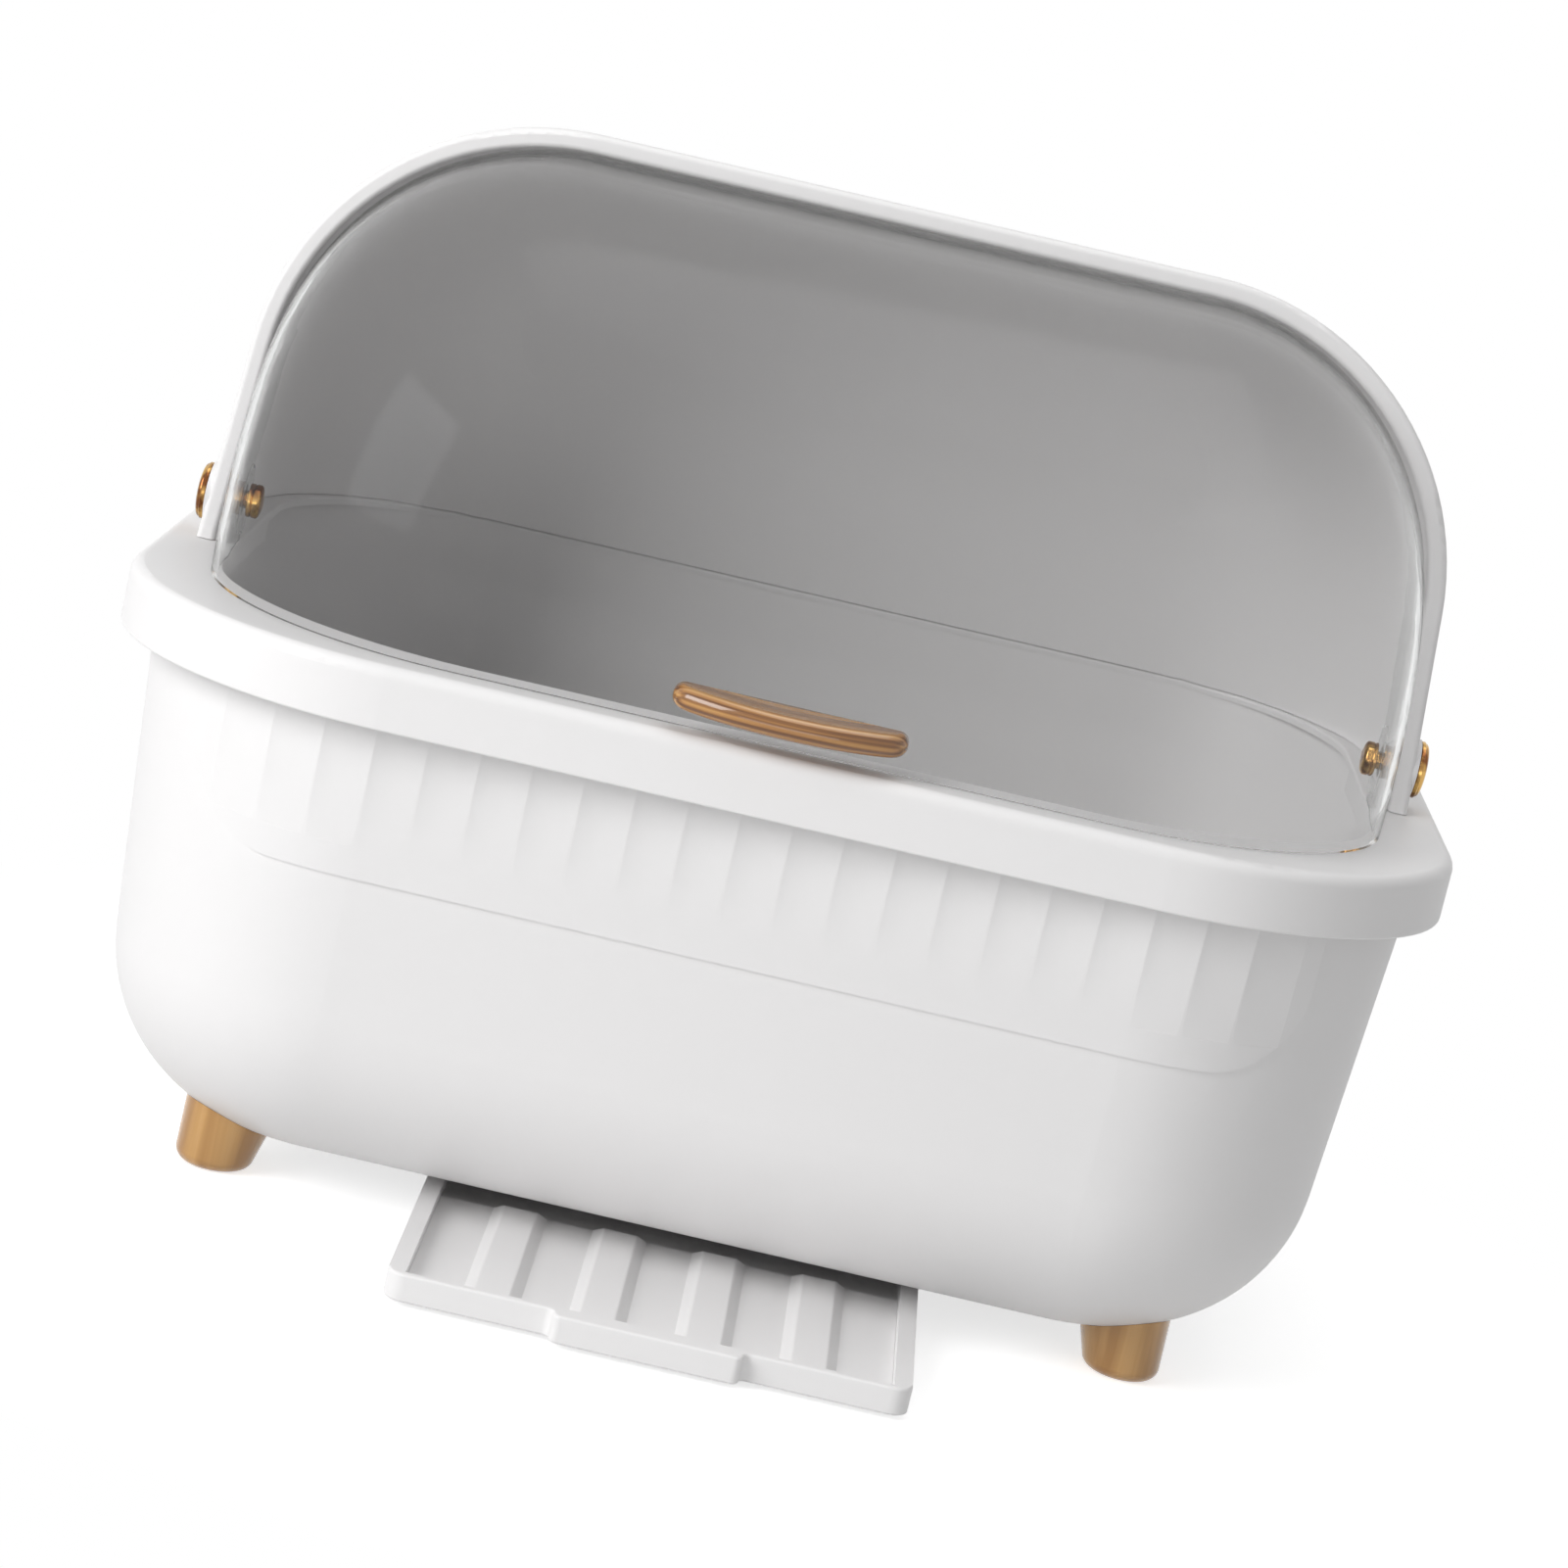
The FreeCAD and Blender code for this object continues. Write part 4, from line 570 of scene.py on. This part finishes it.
def evaluated_mesh(name, tree, values):
    """Plain mesh from a geometry tree with all its inputs set."""
    maker = bpy.data.objects.new(name + "_maker", bpy.data.meshes.new(name + "_seed"))
    bpy.context.scene.collection.objects.link(maker)
    modifier = maker.modifiers.new(name, "NODES")
    modifier.node_group = tree
    for item in tree.interface.items_tree:
        if item.in_out == "INPUT":
            modifier[item.identifier] = values[item.name]
    maker.update_tag()
    graph = bpy.context.evaluated_depsgraph_get()
    mesh = bpy.data.meshes.new_from_object(maker.evaluated_get(graph), depsgraph=graph)
    maker.modifiers.remove(modifier)
    bpy.data.objects.remove(maker)
    if len(mesh.polygons) == 0:
        raise RuntimeError("the tree of " + name + " made nothing")
    mesh.name = name
    mesh.shade_smooth()
    mesh.set_sharp_from_angle(angle=SHARP_ANGLE)
    return mesh


def build_piece(name, node, body, tree, values):
    """Piece from a geometry tree, riding on a body in place of a CAD node, with its finish."""
    slot = SLOT_OF[node]
    mesh = evaluated_mesh(name, tree, {**values, "Material": FINISHES[slot]})
    piece = bpy.data.objects.new(name, mesh)
    bpy.context.scene.collection.objects.link(piece)
    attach(piece, body)
    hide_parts(node)


class DRYBOX_OT_finishes(bpy.types.Operator):
    """Give every CAD node the surface of its material slot."""
    bl_idname = "drybox.finishes"
    bl_label = "Surfaces"

    def execute(self, context):
        tint = context.scene.drybox_finish
        grip = (tint.grip_dark, tint.grip_mid, tint.grip_light)
        leg = (tint.leg_dark, tint.leg_mid, tint.leg_light)
        FINISHES.update({
            "white_plastic": moulded_plastic(
                "satin_white_polypropylene", tint.shell, roughness=0.46,
                grain_depth=0.004 * MM),
            "rack_plastic": moulded_plastic(
                "rack_white_polypropylene", tint.rack, roughness=0.48,
                grain_depth=0.006 * MM),
            "grey_plastic": moulded_plastic(
                "grey_polypropylene", tint.trim, roughness=0.5, grain_depth=0.006 * MM),
            "clear_plastic": clear_acrylic("clear_acrylic", tint.visor, tint.visor_edge_shade),
            "bronze_wood": grained_wood(
                "lacquered_brown_wood", grip, along=0, streak_width=1.8 * MM, coat=0.9,
                bow=GRIP_BOW),
            "leg_wood": grained_wood(
                "lacquered_tan_wood", leg, along=2, streak_width=9.0 * MM, coat=0.7),
            "screw_steel": plated_steel("plated_steel", tint.steel),
            "brass_trim": polished_brass("polished_brass", tint.brass, tint.brass_painted_reflection),
        })
        for name, node in NODES.items():
            node.data.materials.clear()
            node.data.materials.append(FINISHES[SLOT_OF[name]])
        return {"FINISHED"}


class DRYBOX_OT_combs(bpy.types.Operator):
    """Build both rows of upright teeth."""
    bl_idname = "drybox.combs"
    bl_label = "Plate combs"

    def execute(self, context):
        size = context.scene.drybox_combs
        tree = comb_tree()
        for side in ("left", "right"):
            node = "plate_comb_" + side
            low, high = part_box(node)
            build_piece("comb_" + side, node, "drain_rack", tree, {
                "Teeth": size.teeth, "Pitch": size.pitch, "Tooth Height": size.tooth_height,
                "Foot Radius": size.foot_radius, "Tip Radius": size.tip_radius,
                "Rail Width": size.rail_width, "Rail Length": high.y - low.y,
                "Rail Height": size.rail_height, "Peg Radius": size.peg_radius,
                "Peg Depth": size.peg_depth, "Peg Spread": size.peg_spread,
                "Turn": UPRIGHT,
                "Place": ((low.x + high.x) / 2, (low.y + high.y) / 2, low.z + size.peg_depth)})
        return {"FINISHED"}


class DRYBOX_OT_screws(bpy.types.Operator):
    """Build the cross-head screws of the legs, the tray's rails and the grip."""
    bl_idname = "drybox.screws"
    bl_label = "Screws"

    def execute(self, context):
        size = context.scene.drybox_screws
        tree = screw_tree()
        low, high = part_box("tub")
        middle = (low.y + high.y) / 2
        lean = math.tan(size.leg_splay)
        rise = size.leg_seat / math.sqrt(1 + 2 * lean * lean)
        self.build(tree, size, "leg", "leg_screws", "base", {
            "Spread X": 2 * (size.leg_x - lean * rise),
            "Spread Y": 2 * (size.leg_y - lean * rise), "Lean": lean,
            "Turn": UPRIGHT, "Place": (0.0, middle, rise)})
        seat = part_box("rail_screws")[1].z - size.rail_length
        self.build(tree, size, "rail", "rail_screws", "base", {
            "Spread X": 2 * size.rail_x, "Spread Y": 2 * size.rail_y, "Lean": 0.0,
            "Turn": UPRIGHT, "Place": (0.0, middle, seat)})
        place, turn = grip_screw_seat(size)
        self.build(tree, size, "grip", "handle_screws", "visor", {
            "Spread X": 2 * size.grip_x, "Spread Y": 0.0, "Lean": 0.0,
            "Turn": (turn, 0.0, 0.0), "Place": place})
        return {"FINISHED"}

    def build(self, tree, size, use, node, body, layout):
        """One set of screws in place of its CAD node."""
        build_piece(use + "_screw_set", node, body, tree, {
            "Head Radius": getattr(size, use + "_head"),
            "Head Height": getattr(size, use + "_head_height"),
            "Shank Radius": getattr(size, use + "_shank"),
            "Length": getattr(size, use + "_length"), **layout})


def grip_screw_seat(size):
    """Where the grip's screws seat on the visor, and how far they turn from upright."""
    low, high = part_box("handle_screws")
    middle = (low + high) / 2
    pivot = Vector(JOINTS["visor_swing"]["pos_m"])
    reach = math.hypot(middle.y - pivot.y, middle.z - pivot.z)
    drop = math.asin((pivot.z - middle.z) / reach)
    seat = reach - (size.grip_length - size.grip_head_height) / 2
    place = (0.0, pivot.y - seat * math.cos(drop), pivot.z - seat * math.sin(drop))
    return place, math.pi / 2 + drop


class DRYBOX_OT_hinges(bpy.types.Operator):
    """Build the turned hinge caps outside the hood and the closed nuts inside."""
    bl_idname = "drybox.hinges"
    bl_label = "Hinge caps and nuts"

    def execute(self, context):
        size = context.scene.drybox_hinges
        caps, nuts = cap_tree(), nut_tree()
        for side, sign in (("left", -1), ("right", 1)):
            low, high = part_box("hinge_pin_" + side)
            outer = high.x if sign > 0 else low.x
            line = ((low.y + high.y) / 2, (low.z + high.z) / 2)
            turn = (0.0, sign * math.pi / 2, 0.0)
            build_piece("hinge_cap_" + side, "hinge_pin_" + side, "hood", caps, {
                "Radius": size.cap_radius, "Height": size.cap_height,
                "Shaft Radius": size.shaft_radius,
                "Shaft Length": high.x - low.x - size.cap_height, "Turn": turn,
                "Place": (outer - sign * size.cap_height, *line)})
            low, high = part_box("hinge_nut_" + side)
            start = low.x if sign > 0 else high.x
            build_piece("hinge_nut_turned_" + side, "hinge_nut_" + side, "hood", nuts, {
                "Radius": size.nut_radius, "Height": size.nut_height, "Turn": turn,
                "Place": (start, *line)})
        return {"FINISHED"}


# Studio

def seen_rays(tree):
    """1 for rays from the camera, a gloss or a clear surface; 0 for those that light things."""
    path = add(tree, "ShaderNodeLightPath").outputs
    first = add(tree, "ShaderNodeMath", (path["Is Camera Ray"], path["Is Glossy Ray"]),
                operation="MAXIMUM")
    return add(tree, "ShaderNodeMath", (first, path["Is Transmission Ray"]),
               operation="MAXIMUM")


def studio_paper(colour):
    """Matt studio paper: keeps the soft shadow near the object and fades to plain white around."""
    material, tree = new_material("matt_studio_paper")
    seen = seen_rays(tree)
    spot = add(tree, "ShaderNodeTexCoord").outputs["Object"]
    away = add(tree, "ShaderNodeVectorMath", (spot,), operation="LENGTH").outputs["Value"]
    fade = add(tree, "ShaderNodeMapRange", {
        "Value": away, "From Min": FADE_START, "From Max": FADE_END},
        interpolation_type="SMOOTHSTEP")
    paper = add(tree, "ShaderNodeBsdfPrincipled", {
        "Base Color": colour, "Roughness": PAPER_ROUGHNESS, "Specular IOR Level": 0.0})
    lift = add(tree, "ShaderNodeMath", (seen, FLOOR_LIFT), operation="MULTIPLY")
    glow = add(tree, "ShaderNodeEmission", {"Strength": lift})
    lit = add(tree, "ShaderNodeAddShader", (paper, glow))
    white = add(tree, "ShaderNodeEmission", {"Strength": 1.0})
    share = add(tree, "ShaderNodeMath", (seen, fade), operation="MULTIPLY")
    surface = add(tree, "ShaderNodeMixShader", (share, lit, white))
    add(tree, "ShaderNodeOutputMaterial", {"Surface": surface})
    return material


def soft_box(name, power, size, place, aim):
    """Area light of a width and height at a place, turned to an aim."""
    data = bpy.data.lights.new(name, "AREA")
    data.energy = power
    data.shape = "RECTANGLE"
    data.size, data.size_y = size
    lamp = bpy.data.objects.new(name, data)
    lamp.location = place
    lamp.rotation_mode = "QUATERNION"
    lamp.rotation_quaternion = (Vector(aim) - Vector(place)).to_track_quat("-Z", "Y")
    bpy.context.scene.collection.objects.link(lamp)


class DRYBOX_OT_stage(bpy.types.Operator):
    """Build the pale floor, the soft lights and the camera."""
    bl_idname = "drybox.stage"
    bl_label = "Studio"

    def execute(self, context):
        studio = context.scene.drybox_studio
        self.lay_floor(context, studio)
        self.light_world(context, studio)
        for name, size, place, aim in LAMPS:
            soft_box(name, getattr(studio, name + "_power"), size, place, aim)
        context.scene.view_settings.view_transform = "Standard"
        self.set_camera(context, studio)
        return {"FINISHED"}

    def lay_floor(self, context, studio):
        """Square of studio paper under the box."""
        mesh = bpy.data.meshes.new("floor")
        corners = [(x * FLOOR_HALF, y * FLOOR_HALF, 0.0)
                   for x, y in ((-1, -1), (1, -1), (1, 1), (-1, 1))]
        mesh.from_pydata(corners, [], [(0, 1, 2, 3)])
        mesh.materials.append(studio_paper(studio.floor))
        floor = bpy.data.objects.new("floor", mesh)
        context.scene.collection.objects.link(floor)

    def light_world(self, context, studio):
        """Even light from all round, which is seen as plain white."""
        world = bpy.data.worlds.new("studio")
        context.scene.world = world
        world.use_nodes = True
        tree = world.node_tree
        tree.nodes.clear()
        strength = add(tree, "ShaderNodeMapRange", {
            "Value": seen_rays(tree), "To Min": studio.ambient, "To Max": 1.0})
        back = add(tree, "ShaderNodeBackground", {"Color": WHITE, "Strength": strength})
        add(tree, "ShaderNodeOutputWorld", {"Surface": back})

    def set_camera(self, context, studio):
        """Camera where the photograph was taken from."""
        data = bpy.data.cameras.new("camera")
        data.sensor_width = SENSOR_WIDTH
        data.lens = studio.focal_pixels / IMAGE_SIDE * SENSOR_WIDTH
        camera = bpy.data.objects.new("camera", data)
        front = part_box("hood_shell")[0].y
        place = Matrix.Translation((
            studio.camera_side, front - studio.camera_gap, studio.camera_height))
        aim = Matrix.Rotation(math.pi / 2 - studio.camera_pitch, 4, "X")
        roll = Matrix.Rotation(studio.camera_roll, 4, "Z")
        camera.matrix_world = place @ aim @ roll
        context.scene.collection.objects.link(camera)
        context.scene.camera = camera


STEPS = (DRYBOX_OT_finishes, DRYBOX_OT_combs, DRYBOX_OT_screws, DRYBOX_OT_hinges, DRYBOX_OT_stage)


class DRYBOX_PT_panel(bpy.types.Panel):
    """Sidebar panel with every step of the box."""
    bl_idname = "DRYBOX_PT_panel"
    bl_label = "Drying Box"
    bl_space_type = "VIEW_3D"
    bl_region_type = "UI"
    bl_category = "Drying Box"

    def draw(self, context):
        for step in STEPS:
            self.layout.operator(step.bl_idname)


GROUPS = {"drybox_finish": BoxFinish, "drybox_combs": CombSizes, "drybox_screws": ScrewSizes,
          "drybox_hinges": HingeSizes, "drybox_studio": StudioSettings}
CLASSES = (*GROUPS.values(), *STEPS, DRYBOX_PT_panel)


def register():
    """Add the classes and their settings."""
    for item in CLASSES:
        bpy.utils.register_class(item)
    for name, group in GROUPS.items():
        setattr(bpy.types.Scene, name, bpy.props.PointerProperty(type=group))


def unregister():
    """Take the settings and classes away."""
    for name in GROUPS:
        delattr(bpy.types.Scene, name)
    for item in reversed(CLASSES):
        bpy.utils.unregister_class(item)


def main():
    """Run every step in order."""
    register()
    bpy.ops.drybox.finishes()
    bpy.ops.drybox.combs()
    bpy.ops.drybox.screws()
    bpy.ops.drybox.hinges()
    bpy.ops.drybox.stage()


if __name__ == "__main__":
    main()
